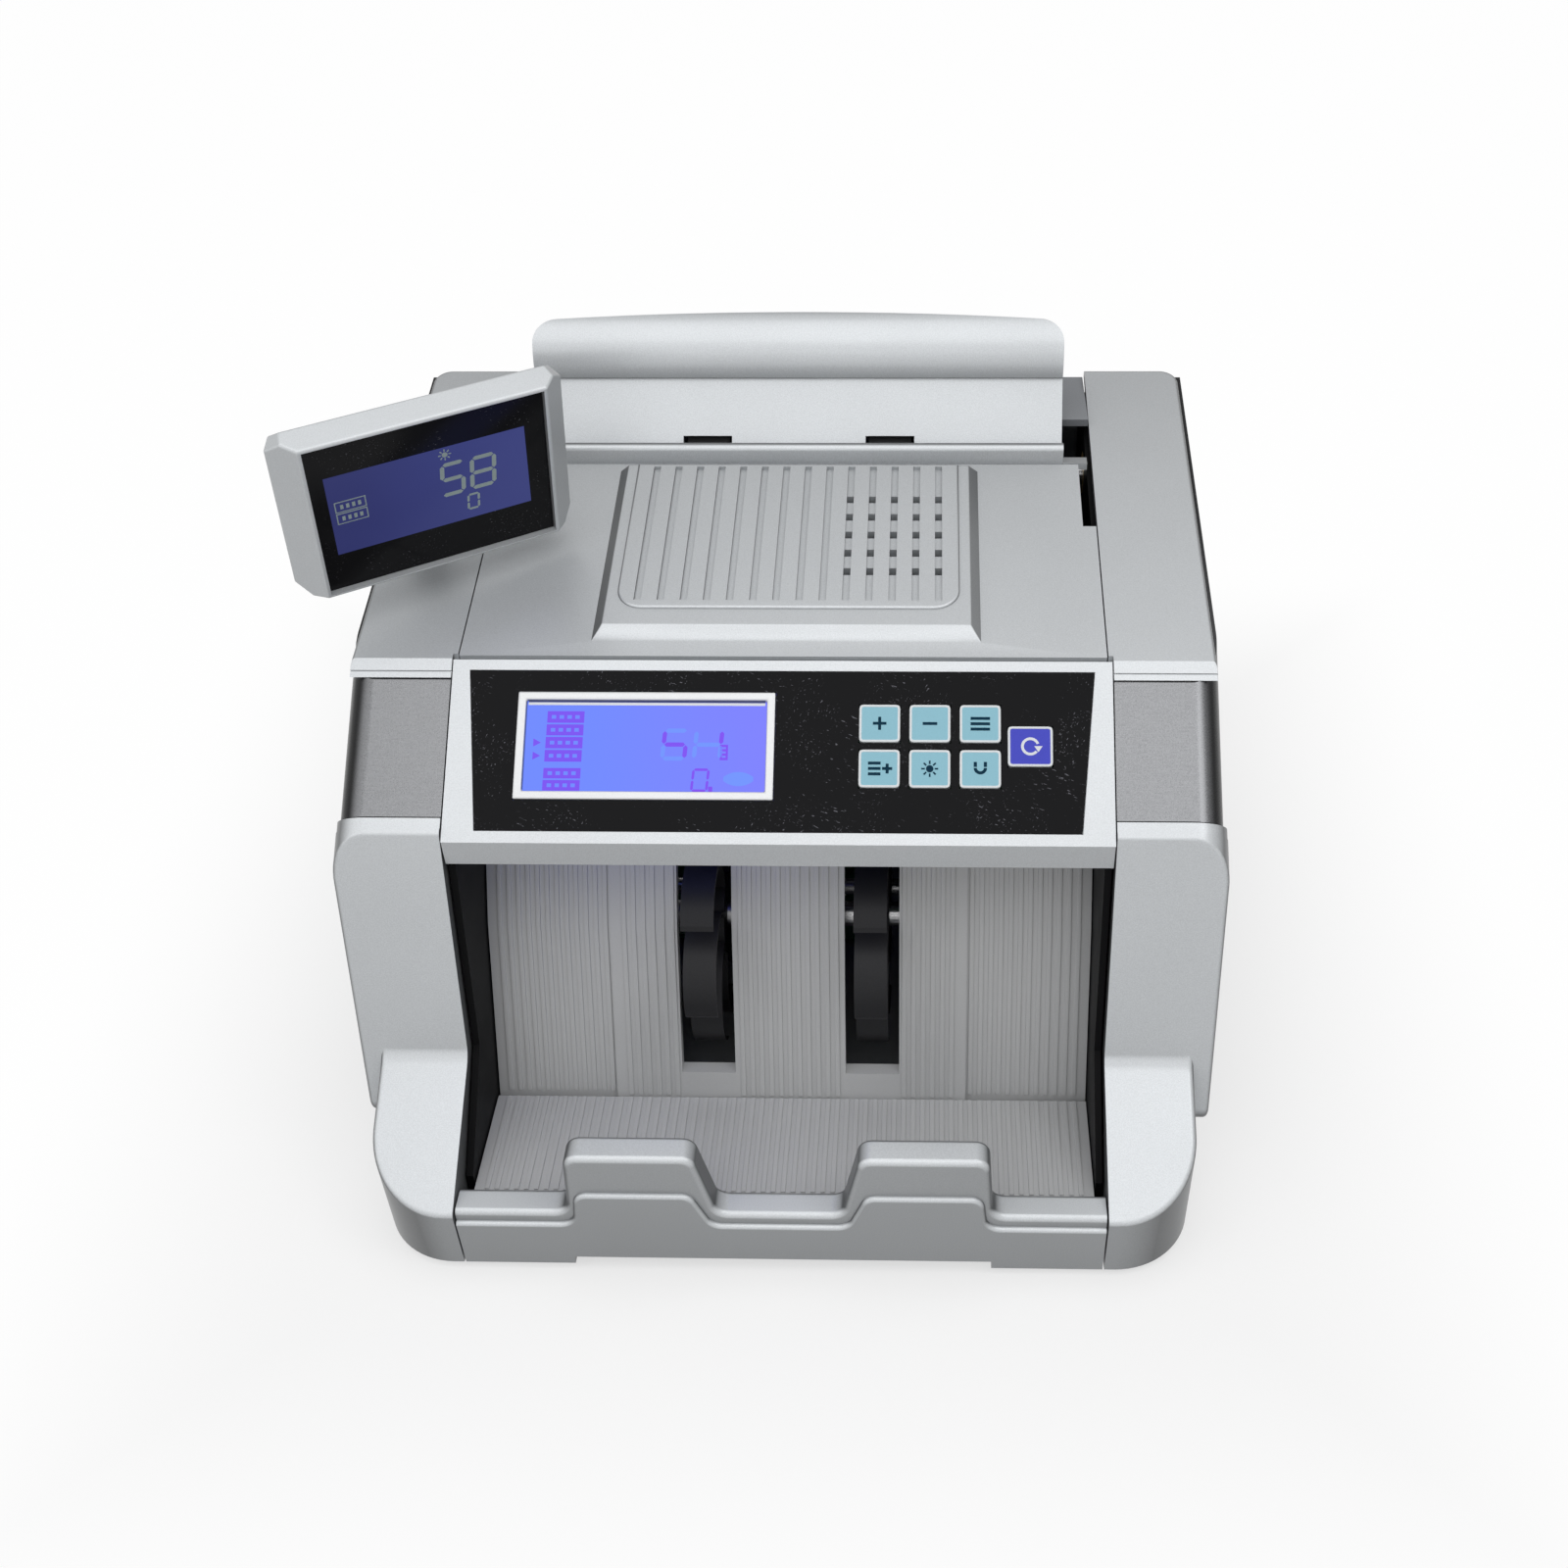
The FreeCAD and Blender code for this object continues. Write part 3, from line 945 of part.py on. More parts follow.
# Swivelling display, drawn in its own frame: Y up its face, Z out of its face
def display():
    def bevelled(name, plane, outer, inner, reach):
        """A slab whose front and back edges are bevelled across one direction."""
        slope = [(f"-{outer} + disp_taper", "-disp_deep"), (f"{outer} - disp_taper", "-disp_deep"),
                 (outer, "-disp_chamfer"), (f"{inner} + 1", "0.8"), (f"-{inner} - 1", "0.8"),
                 (f"-{outer}", "-disp_chamfer")]
        return prism(name, plane, slope, (f"-{reach}", reach))

    across = bevelled("disp_across", "XZ", "disp_half", "window_half", "disp_high")
    along = bevelled("disp_along", "YZ", "disp_high", "window_high", "disp_half")
    inset_x, inset_y = "(disp_half - disp_corner)", "(disp_high - disp_corner)"
    face = [(f"-{inset_x}", "-disp_high"), (inset_x, "-disp_high"), ("disp_half", f"-{inset_y}"),
            ("disp_half", inset_y), (inset_x, "disp_high"), (f"-{inset_x}", "disp_high"),
            ("-disp_half", inset_y), ("-disp_half", f"-{inset_y}")]
    plan = prism("disp_plan", "XY", face, ("-disp_deep - 1", "2"))
    frame = box("disp_frame_room", ("-window_half", "window_half"), ("-window_high", "window_high"),
                ("-3", "2"))
    room = box("disp_room", ("-32", "32"), ("-13", "15"), ("-disp_deep + 2", "-2"))
    form = common("disp_form", common("disp_bevels", across, along), plan)
    soft = rounded("disp_soft", form, "disp_edge", lambda e: True)
    on_display("display_housing", cut("disp_shell", soft, frame, room))
    play = "0.2"
    pane = box("disp_window", (f"-window_half + {play}", f"window_half - {play}"),
               (f"-window_high + {play}", f"window_high - {play}"), ("-3", "-1"))
    on_display("display_window", pane)
    on_display("display_lcd", box("disp_glass", ("-31", "31"), ("-12", "14"), ("-8", "-3.2")))
    plate = box("disp_back_plate", ("-disp_half + 8", "disp_half - 8"), ("-disp_high + 8", "disp_high - 8"),
                ("-disp_deep - 2", "-disp_deep"))
    lugs = []
    for name, sign in SIDES:
        wide = span(sign, "7", "10")
        lugs.append(box("disp_lug_" + name, wide, ("pin_y - 5", "pin_y + 5"), ("pin_z", "-disp_deep - 1")))
        lugs.append(rod("disp_lug_end_" + name, "5", wide, "pin_y", "pin_z"))
    axle = rod("disp_pin", "pin_r", ("-11", "11"), "pin_y", "pin_z")
    on_display("display_back", fuse("disp_back_body", plate, axle, *lugs))

    middle = Vector(num("disp_x"), num("disp_y"), num("disp_z"))
    centre = middle + display_turn().multVec(Vector(0, num("pin_y"), num("pin_z")))
    x, y, top = str(round(centre.x, 3)), str(round(centre.y, 3)), round(centre.z, 3)
    spigot = pin("post_spigot", "spigot_r", x, y, ("socket_z - 6", "socket_z + 1"))
    collar = pin("post_collar", "6.5", x, y, ("socket_z + 0.3", "socket_z + 3"))
    stem = pin("post_stem", "post_r", x, y, ("socket_z", f"{top}"))
    knuckle = doc.addObject("Part::Cylinder", "post_knuckle")
    knuckle.Placement = Placement(Vector(), Rotation(AXIS_Z, num("disp_yaw")) * Rotation(AXIS_Y, 90))
    lean = math.radians(num("disp_yaw"))
    start = f"{x} - 6.6 * {round(math.cos(lean), 6)}", f"{y} - 6.6 * {round(math.sin(lean), 6)}", f"{top}"
    bind(knuckle, {"Radius": "5", "Height": "13.2", **place_at(*start)})
    eye = doc.addObject("Part::Cylinder", "post_eye")
    eye.Placement = knuckle.Placement
    bind(eye, {"Radius": "pin_r + run", "Height": "13.2", **place_at(*start)})
    finish("display_post", cut("post_cut", fuse("post_body", spigot, collar, stem, knuckle), eye))

    sleeve = pin("socket_sleeve", "socket_r", x, y, ("140", "socket_z"))
    bore = pin("socket_bore", "spigot_r + run", x, y, ("socket_z - 6.3", "socket_z + 1"))
    seat = [("120", "100"), ("200", "100"), ("200", top_plane_z("200")), ("120", top_plane_z("120"))]
    below = prism("socket_seat", "YZ", seat, ("-body_half - 9", "0"))
    finish("display_socket", cut("socket_cut", sleeve, bore, below))


display()

doc.recompute()
failed = [obj.Name for obj in doc.Objects if {"Invalid", "Error"} & set(obj.State)]
failed += [obj.Label for obj in PARTS if obj.Shape.isNull() or not obj.Shape.isValid()]
if failed:
    raise SystemExit("failed objects: " + ", ".join(failed))
os.makedirs("parts", exist_ok=True)
for obj in PARTS:
    obj.Shape.exportStep(f"parts/{obj.Label}.step")
    print(obj.Label, len(obj.Shape.Solids), round(obj.Shape.Volume / 1000, 2))
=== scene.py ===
"""Looks of a desktop banknote counting machine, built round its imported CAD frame."""

from __future__ import annotations

import json
import logging
import math
from collections.abc import Callable, Sequence
from dataclasses import dataclass
from enum import Enum

import bmesh
import bpy
from mathutils import Matrix, Vector

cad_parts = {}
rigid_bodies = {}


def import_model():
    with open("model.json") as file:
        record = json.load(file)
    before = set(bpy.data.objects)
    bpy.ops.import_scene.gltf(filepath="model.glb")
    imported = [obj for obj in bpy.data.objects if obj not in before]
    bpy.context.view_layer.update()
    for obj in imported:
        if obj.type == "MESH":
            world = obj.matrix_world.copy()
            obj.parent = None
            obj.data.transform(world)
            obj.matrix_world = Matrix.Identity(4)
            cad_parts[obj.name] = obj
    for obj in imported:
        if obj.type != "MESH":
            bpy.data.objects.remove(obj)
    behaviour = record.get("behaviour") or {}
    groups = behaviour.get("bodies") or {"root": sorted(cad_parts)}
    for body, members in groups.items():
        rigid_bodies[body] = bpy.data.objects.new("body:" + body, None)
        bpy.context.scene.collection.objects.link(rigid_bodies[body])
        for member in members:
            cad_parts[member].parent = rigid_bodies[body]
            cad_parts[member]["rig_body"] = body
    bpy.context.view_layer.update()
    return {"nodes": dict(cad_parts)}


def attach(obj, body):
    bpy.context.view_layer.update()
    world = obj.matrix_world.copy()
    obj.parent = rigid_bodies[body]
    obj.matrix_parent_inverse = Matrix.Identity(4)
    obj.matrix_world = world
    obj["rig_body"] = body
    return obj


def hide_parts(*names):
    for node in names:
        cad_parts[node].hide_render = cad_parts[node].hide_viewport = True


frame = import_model()

log = logging.getLogger("note_counter")
MM = 0.001
WHITE = (1.0, 1.0, 1.0, 1.0)
Colour = tuple[float, float, float]
Point = tuple[float, float]
Triple = tuple[float, float, float]


# Seats: flat frames on the machine that pieces are drawn in
@dataclass(frozen=True)
class Seat:
    """A flat frame on the machine.

    Attributes:
        place: Origin in machine millimetres, from below the middle of the front face.
        turn: Rotation about X, in degrees.
        yaw: Rotation about Z after it, in degrees.
    """

    place: Triple = (0.0, 0.0, 0.0)
    turn: float = 0.0
    yaw: float = 0.0

    def matrix(self) -> Matrix:
        """Give the matrix from millimetres in this seat to metres in the row frame."""
        middle = Vector(FRONT_MIDDLE) + Vector(self.place)
        swing = Matrix.Rotation(math.radians(self.yaw), 4, "Z")
        tilt = Matrix.Rotation(math.radians(self.turn), 4, "X")
        return Matrix.Scale(MM, 4) @ Matrix.Translation(middle) @ swing @ tilt


FRONT_MIDDLE = (5.67, -121.0, 0.0)
MACHINE = Seat()
PANEL = Seat((0.0, 104.57, 153.36), 36.0)
SCREEN = Seat((-98.8, 125.6, 196.5), 100.0, 31.0)


class Plane(Enum):
    """Planes that outlines are drawn in, as the axes of their first, second and depth coordinates."""

    XY = (0, 1, 2)
    YZ = (1, 2, 0)


# Shader graphs
class Socket:
    """A node output whose operators add Math nodes."""

    def __init__(self, graph: Graph, output: bpy.types.NodeSocket) -> None:
        """Keep the graph and the output."""
        self.graph = graph
        self.output = output

    def _math(self, operation: str, *values: Socket | float) -> Socket:
        """Add a Math node over values."""
        return self.graph.node("ShaderNodeMath", {"operation": operation}, dict(enumerate(values)))

    def __add__(self, other: Socket | float) -> Socket:
        """Add."""
        return self._math("ADD", self, other)

    def __sub__(self, other: Socket | float) -> Socket:
        """Take away."""
        return self._math("SUBTRACT", self, other)

    def __rsub__(self, other: float) -> Socket:
        """Take this away from a number."""
        return self._math("SUBTRACT", other, self)

    def __mul__(self, other: Socket | float) -> Socket:
        """Multiply."""
        return self._math("MULTIPLY", self, other)

    def size(self) -> Socket:
        """Drop the sign."""
        return self._math("ABSOLUTE", self)

    def larger(self, other: Socket | float) -> Socket:
        """Give the larger of two values."""
        return self._math("MAXIMUM", self, other)

    __radd__ = __add__
    __rmul__ = __mul__

    def ramp(self, low: float, high: float, start: float = 0.0, end: float = 1.0) -> Socket:
        """Map a range smoothly onto another.

        Args:
            low: Value that gives start.
            high: Value that gives end.
            start: Result at low.
            end: Result at high.

        Returns:
            The mapped value.
        """
        inputs = {0: self, 1: low, 2: high, 3: start, 4: end}
        return self.graph.node("ShaderNodeMapRange", {"interpolation_type": "SMOOTHSTEP"}, inputs)


class Graph:
    """The node tree of one material or world."""

    def __init__(self, tree: bpy.types.NodeTree) -> None:
        """Empty the tree."""
        self.tree = tree
        tree.nodes.clear()

    def node(
        self, kind: str, settings: dict | None = None, inputs: dict | None = None, output: int | str = 0
    ) -> Socket | None:
        """Add a node.

        Args:
            kind: Node type.
            settings: Properties, set first.
            inputs: Values or links, by socket number or name.
            output: Output that is handed back.

        Returns:
            The chosen output, or None for a node without outputs.
        """
        made = self.tree.nodes.new(kind)
        for name, value in (settings or {}).items():
            setattr(made, name, value)
        for name, value in (inputs or {}).items():
            if isinstance(value, Socket):
                self.tree.links.new(value.output, made.inputs[name])
            else:
                made.inputs[name].default_value = value
        return Socket(self, made.outputs[output]) if made.outputs else None

    def position(self, scale: Triple = (1.0, 1.0, 1.0), turn: Triple = (0.0, 0.0, 0.0)) -> Socket:
        """Give object coordinates in millimetres, scaled and turned.

        Args:
            scale: Factor on each axis.
            turn: Rotation in degrees.

        Returns:
            A vector.
        """
        base = self.node("ShaderNodeTexCoord", output="Object")
        angles = tuple(math.radians(angle) for angle in turn)
        if any(turn):
            base = self.node("ShaderNodeMapping", None, {"Vector": base, "Rotation": angles})
        sizes = tuple(size / MM for size in scale)
        return self.node("ShaderNodeMapping", None, {"Vector": base, "Scale": sizes})

    def noise(self, where: Socket, scale: float, detail: float = 2.0) -> Socket:
        """Give noise from 0 to 1.

        Args:
            where: Coordinates in millimetres.
            scale: Grains per millimetre.
            detail: Octaves.

        Returns:
            The noise value.
        """
        return self.node("ShaderNodeTexNoise", None, {"Vector": where, "Scale": scale, "Detail": detail})

    def mix(self, factor: Socket, low: Colour | Socket, high: Colour | Socket) -> Socket:
        """Mix two colours by a value."""
        ends = [end if isinstance(end, Socket) else (*end, 1.0) for end in (low, high)]
        return self.node("ShaderNodeMix", {"data_type": "RGBA"}, {0: factor, 6: ends[0], 7: ends[1]}, 2)

    def facing(self) -> Socket:
        """Give 0 where the surface is seen square on, rising to 1 edge on."""
        return self.node("ShaderNodeLayerWeight", None, {"Blend": 0.5}, "Facing")

    def bump(self, height: Socket, depth: float) -> Socket:
        """Give a normal from a height from 0 to 1 and its full depth in millimetres."""
        return self.node("ShaderNodeBump", None, {"Strength": 1.0, "Distance": depth * MM, "Height": height})

    def surface(self, **inputs: Socket | float | tuple) -> None:
        """Close the graph with a Principled shader, whose socket names have underscores for spaces."""
        named = {name.replace("_", " "): value for name, value in inputs.items()}
        shader = self.node("ShaderNodeBsdfPrincipled", None, named)
        self.node("ShaderNodeOutputMaterial", None, {"Surface": shader})


def tinted(colour: Colour, factor: float) -> Colour:
    """Make a colour lighter or darker."""
    return tuple(min(1.0, channel * factor) for channel in colour)


# Finishes
@dataclass(frozen=True)
class Finish:
    """A finish with its own material.

    Attributes:
        name: Material name.
        colour: Main colour, linear.
        roughness: Middle roughness.
        metallic: Share of metal.
        grain: Grains per millimetre of the surface grain.
        depth: Depth of the grain in millimetres.
        speckle: Change of colour in the grain.
        wear: Change of roughness in wide smudges.
        specular: Level of the plain gloss.
    """

    name: str
    colour: Colour
    roughness: float = 0.45
    metallic: float = 0.0
    grain: float = 2.5
    depth: float = 0.01
    speckle: float = 0.06
    wear: float = 0.08
    specular: float = 0.5

    def material(self) -> bpy.types.Material:
        """Give the material, made on first use."""
        label = "finish_" + self.name
        found = bpy.data.materials.get(label)
        if found is None:
            found = bpy.data.materials.new(label)
            found.use_nodes = True
            self.paint(Graph(found.node_tree))
            found.diffuse_color = (*self.colour, 1.0)
        return found

    def smudges(self, graph: Graph) -> Socket:
        """Give the roughness, with wide smudges."""
        wide = graph.noise(graph.position(), 0.03, 3.0)
        return wide.ramp(0.3, 0.7, self.roughness - self.wear / 2, self.roughness + self.wear / 2)

    def paint(self, graph: Graph) -> None:
        """Build the node tree."""
        fine = graph.noise(graph.position(), self.grain, 2.0)
        colour = graph.mix(fine, tinted(self.colour, 1 - self.speckle), tinted(self.colour, 1 + self.speckle))
        graph.surface(
            Base_Color=colour,
            Roughness=self.smudges(graph),
            Metallic=self.metallic,
            Specular_IOR_Level=self.specular,
            Normal=graph.bump(fine, self.depth),
        )


@dataclass(frozen=True)
class SilverPaint(Finish):
    """Silver paint with fine metal flakes under a satin top coat, darkened by painted shade where it turns
    away from the camera.

    Attributes:
        flake: Flakes per millimetre.
        fall: Painted shade: loss of tone as the surface turns away.
        steep: Further painted shade, by the square of the turn.
        shade: Least tone left by the painted shade.
    """

    flake: float = 3.0
    fall: float = 0.3
    steep: float = 1.9
    shade: float = 0.2

    def paint(self, graph: Graph) -> None:
        """Build flakes, a soft orange peel and painted shade: a tone that falls as the surface turns away."""
        where = graph.position()
        flakes = graph.noise(where, self.flake, 1.0)
        drift = graph.noise(where, 0.02, 2.0)
        grain = (flakes * 0.75 + drift * 0.25).ramp(0.25, 0.75, 1 - self.speckle, 1 + self.speckle)
        turned = graph.facing()
        # Painted shade: the colour darkens as the surface turns from the camera.
        tone = (1.0 - turned * self.fall - turned * turned * self.steep).larger(self.shade) * grain
        colour = graph.node("ShaderNodeVectorMath", {"operation": "SCALE"}, {0: self.colour, "Scale": tone})
        peel = graph.noise(where, 0.9, 2.0)
        graph.surface(
            Base_Color=colour,
            Roughness=self.smudges(graph),
            Metallic=self.metallic,
            Specular_IOR_Level=self.specular,
            Normal=graph.bump(peel * 0.6 + flakes * 0.4, self.depth),
        )


@dataclass(frozen=True)
class BrushedBand(Finish):
    """Grained metallic wrap with fine lines running round the corner, darkened by painted shade towards edge
    on.

    Attributes:
        shade: Tone where it is seen edge on, a painted shade.
    """

    shade: float = 0.05

    def paint(self, graph: Graph) -> None:
        """Build fine lines and grain, and painted shade that darkens the colour towards edge on."""
        lines = graph.noise(graph.position((0.15, 0.15, 6.0)), 1.0, 2.0)
        grit = graph.noise(graph.position(), self.grain, 2.0)
        tone = lines * 0.2 + grit * 0.8
        # Painted shade: the colour darkens as the wrap turns edge on.
        turned = graph.facing().ramp(0.03, 0.4)
        dark = graph.mix(turned, tinted(self.colour, 1 - self.speckle), tinted(self.colour, self.shade))
        pale = graph.mix(turned, tinted(self.colour, 1 + self.speckle), tinted(self.colour, self.shade * 1.3))
        colour = graph.mix(tone.ramp(0.3, 0.7), dark, pale)
        graph.surface(
            Base_Color=colour,
            Roughness=tone.ramp(0.3, 0.7, self.roughness - 0.05, self.roughness + 0.05),
            Metallic=self.metallic,
            Specular_IOR_Level=self.specular,
            Normal=graph.bump(tone, self.depth),
        )


@dataclass(frozen=True)
class ScratchedFilm(Finish):
    """Glossy film with fine scratches and dust.

    Attributes:
        scratch: Colour of the scratches.
    """

    scratch: Colour = (0.22, 0.22, 0.25)

    def paint(self, graph: Graph) -> None:
        """Build scratches at two angles, broken up by wide noise."""
        marks = []
        for turn in (24.0, -57.0):
            streak = graph.noise(graph.position((0.035, 2.4, 2.4), (0.0, 0.0, turn)), 1.0, 2.0)
            gaps = graph.noise(graph.position((1.0, 1.0, 1.0), (0.0, 0.0, turn)), 0.06, 2.0)
            marks.append(streak.ramp(0.66, 0.72) * gaps.ramp(0.48, 0.62))
        dust = graph.noise(graph.position(), 1.6, 1.0).ramp(0.76, 0.82)
        mask = marks[0] * 0.8 + marks[1] * 0.8 + dust * 0.25
        graph.surface(
            Base_Color=graph.mix(mask, self.colour, self.scratch),
            Roughness=mask.ramp(0.0, 1.0, self.roughness, self.roughness + 0.3),
            Metallic=self.metallic,
            Specular_IOR_Level=self.specular,
            Normal=graph.bump(graph.noise(graph.position(), 0.15, 2.0), self.depth),
        )


@dataclass(frozen=True)
class LitPanel(Finish):
    """A lit liquid crystal panel whose glow drifts from side to side.

    Attributes:
        left: Glow at the left.
        right: Glow at the right.
        across: Where the drift starts and ends, from the middle of the machine.
    """

    left: Colour = (0.16, 0.28, 1.0)
    right: Colour = (0.24, 0.2, 0.95)
    across: Point = (-70.0, 10.0)

    def paint(self, graph: Graph) -> None:
        """Build the glow and a fine dot grid."""
        where = graph.position()
        x = graph.node("ShaderNodeSeparateXYZ", None, {0: where}, 0)
        drift = x.ramp(self.across[0] + FRONT_MIDDLE[0], self.across[1] + FRONT_MIDDLE[0])
        haze = graph.noise(where, 0.05, 2.0)
        glow = graph.mix(drift * 0.8 + haze * 0.2, self.left, self.right)
        graph.surface(
            Base_Color=(*self.colour, 1.0),
            Roughness=self.smudges(graph),
            Specular_IOR_Level=self.specular,
            Emission_Color=glow,
            Emission_Strength=1.0,
            Normal=graph.bump(graph.noise(where, 4.0, 1.0), self.depth),
        )


@dataclass(frozen=True)
class TurnedSteel(Finish):
    """Turned metal with fine rings along the machine's width."""

    def paint(self, graph: Graph) -> None:
        """Build rings and stains."""
        rings = graph.noise(graph.position((4.0, 0.2, 0.2)), 1.0, 2.0)
        colour = graph.mix(rings, tinted(self.colour, 0.88), tinted(self.colour, 1.08))
        graph.surface(
            Base_Color=colour,
            Roughness=self.smudges(graph),
            Metallic=self.metallic,
            Specular_IOR_Level=self.specular,
            Normal=graph.bump(rings, self.depth),
        )


# The silver paints and the band darken their colour where they turn from the camera: painted shade.
SILVER = SilverPaint("silver_paint", (0.735, 0.762, 0.785), 0.32, 0.15, depth=0.012, speckle=0.08, wear=0.05)
DISPLAY_SILVER = SilverPaint(
    "display_paint", (0.66, 0.685, 0.705), 0.34, 0.25, wear=0.05, fall=0.2, steep=0.5, shade=0.4
)
BAND = BrushedBand("band_metal", (0.205, 0.208, 0.216), 0.30, 0.85, grain=3.0, depth=0.010, speckle=0.18)
RIBBED = Finish("ribbed_plastic", (0.52, 0.525, 0.53), 0.42, 0.15, depth=0.008)
BLACK_PLATE = Finish("black_plate", (0.005, 0.005, 0.0055), 0.45, depth=0.01, speckle=0.3, specular=0.05)
FILM = ScratchedFilm("panel_film", (0.006, 0.006, 0.007), 0.14, depth=0.004, specular=0.06)
RIM = SilverPaint("bright_rim", (0.80, 0.81, 0.82), 0.35, 0.2, depth=0.004, speckle=0.04)
LIT = LitPanel(
    "lit_panel", (0.01, 0.015, 0.03), 0.25, depth=0.002, specular=0.1,
    left=(0.145, 0.245, 0.97), right=(0.21, 0.20, 0.97),
)
KEY_FACE = Finish("key_face", (0.29, 0.57, 0.68), 0.4, depth=0.004, speckle=0.05, specular=0.3)
KEY_EDGE = Finish("key_edge", (0.80, 0.83, 0.85), 0.4, depth=0.004, speckle=0.04)
KEY_INK = Finish("key_ink", (0.005, 0.035, 0.065), 0.5, depth=0.002, specular=0.05)
BLUE_FACE = Finish("blue_key_face", (0.075, 0.085, 0.60), 0.35, depth=0.004, speckle=0.06, specular=0.12)
# Painted shadow: the dark line that the screen's rim casts along its top edge.
PAINTED_SHADOW_LINE = Finish("painted_shadow_line", (0.02, 0.03, 0.16), 0.4, depth=0.002)
WHITE_INK = Finish("white_ink", (0.80, 0.82, 0.86), 0.5, depth=0.002)
VIOLET_MARK = LitPanel(
    "violet_mark", (0.01, 0.005, 0.03), 0.3, depth=0.002, specular=0.1,
    left=(0.19, 0.085, 0.86), right=(0.22, 0.075, 0.86),
)
GHOST_MARK = LitPanel(
    "ghost_mark", (0.01, 0.01, 0.03), 0.3, depth=0.002, specular=0.1,
    left=(0.16, 0.29, 0.98), right=(0.16, 0.29, 0.98),
)
BOARD = Finish("circuit_board", (0.02, 0.12, 0.05), 0.4, depth=0.02, speckle=0.3)
RUBBER = Finish("rubber", (0.018, 0.018, 0.019), 0.75, grain=4.0, depth=0.03, speckle=0.3)
STEEL = TurnedSteel("turned_steel", (0.60, 0.60, 0.61), 0.28, 1.0, depth=0.006)
BRASS = TurnedSteel("sintered_brass", (0.62, 0.45, 0.18), 0.4, 1.0, depth=0.02)
WHEEL = Finish("wheel_plastic", (0.02, 0.02, 0.022), 0.55, depth=0.02, speckle=0.25, specular=0.2)
MOTOR = TurnedSteel("plated_case", (0.35, 0.35, 0.37), 0.35, 0.9, depth=0.01)
BLACK_PLASTIC = Finish("black_plastic", (0.014, 0.014, 0.015), 0.5, grain=3.0, depth=0.03, speckle=0.25)
GREY_PLASTIC = Finish("grey_plastic", (0.20, 0.21, 0.225), 0.5, 0.1, grain=2.5, depth=0.03, speckle=0.12)
WINDOW = ScratchedFilm(
    "smoked_window", (0.009, 0.009, 0.010), 0.1, depth=0.003, specular=0.1, scratch=(0.10, 0.10, 0.11)
)
DIM_PANEL = LitPanel(
    "dim_panel", (0.004, 0.004, 0.008), 0.2, depth=0.002, specular=0.1,
    left=(0.024, 0.028, 0.115), right=(0.045, 0.055, 0.20), across=(-135.0, -70.0),
)
PALE_MARK = Finish("pale_mark", (0.36, 0.44, 0.43), 0.4, depth=0.002, specular=0.2)
LAMP = Finish("lamp_tube", (0.35, 0.35, 0.6), 0.2, depth=0.003)


# Mesh shaping
Outline = list[Point]
Pick = Callable[[bmesh.types.BMEdge], bool]


def round_edges(
    mesh: bmesh.types.BMesh, width: float, segments: int, angle: float, pick: Pick | None = None
) -> None:
    """Round edges that are sharper than an angle.

    Args:
        mesh: Mesh that is changed.
        width: Width of the rounding, in the mesh's own unit.
        segments: Faces across it.
        angle: Least angle between the faces, in degrees.
        pick: Further test of an edge.
    """
    least = math.radians(angle)
    sharp = [edge for edge in mesh.edges if len(edge.link_faces) == 2 and edge.calc_face_angle(0.0) > least]
    chosen = [edge for edge in sharp if pick is None or pick(edge)]
    bmesh.ops.bevel(
        mesh, geom=chosen, offset=width, segments=segments, profile=0.5, affect="EDGES",
        clamp_overlap=True, material=-1,
    )


class Shape:
    """A mesh being shaped in millimetres of one seat."""

    def __init__(self, seat: Seat = MACHINE) -> None:
        """Start empty."""
        self.seat = seat
        self.mesh = bmesh.new()

    def prism(
        self, points: Sequence[Point], plane: Plane, low: float, high: float, slot: int = 0
    ) -> list[bmesh.types.BMFace]:
        """Extrude a closed outline.

        Args:
            points: Corners of the outline.
            plane: Plane that it lies in.
            low: Depth of the first end.
            high: Depth of the other end.
            slot: Material slot of its faces.

        Returns:
            The faces made.
        """
        first, second, depth = plane.value
        verts = []
        for u, v in points:
            place = Vector()
            place[first], place[second], place[depth] = u, v, low
            verts.append(self.mesh.verts.new(place))
        base = self.mesh.faces.new(verts)
        grown = bmesh.ops.extrude_face_region(self.mesh, geom=[base], use_keep_orig=True)
        shift = Vector()
        shift[depth] = high - low
        moved = [item for item in grown["geom"] if isinstance(item, bmesh.types.BMVert)]
        bmesh.ops.translate(self.mesh, verts=moved, vec=shift)
        faces = list({face for vert in (*verts, *moved) for face in vert.link_faces})
        bmesh.ops.recalc_face_normals(self.mesh, faces=faces)
        for face in faces:
            face.material_index = slot
        return faces

    def soften(self, radius: float, segments: int, angle: float, pick: Pick) -> None:
        """Round chosen edges that are sharper than an angle."""
        round_edges(self.mesh, radius, segments, angle, pick)

    def done(
        self, name: str, body: str, finishes: Sequence[Finish], smooth: float = 30.0
    ) -> bpy.types.Object:
        """Put the mesh in place as a piece.

        Args:
            name: Name of the piece.
            body: CAD body that it moves with.
            finishes: Finishes by material slot.
            smooth: Angle below which faces blend.

        Returns:
            The piece.
        """
        bmesh.ops.transform(self.mesh, matrix=self.seat.matrix(), verts=self.mesh.verts)
        return piece(name, self.mesh, body, finishes, smooth)


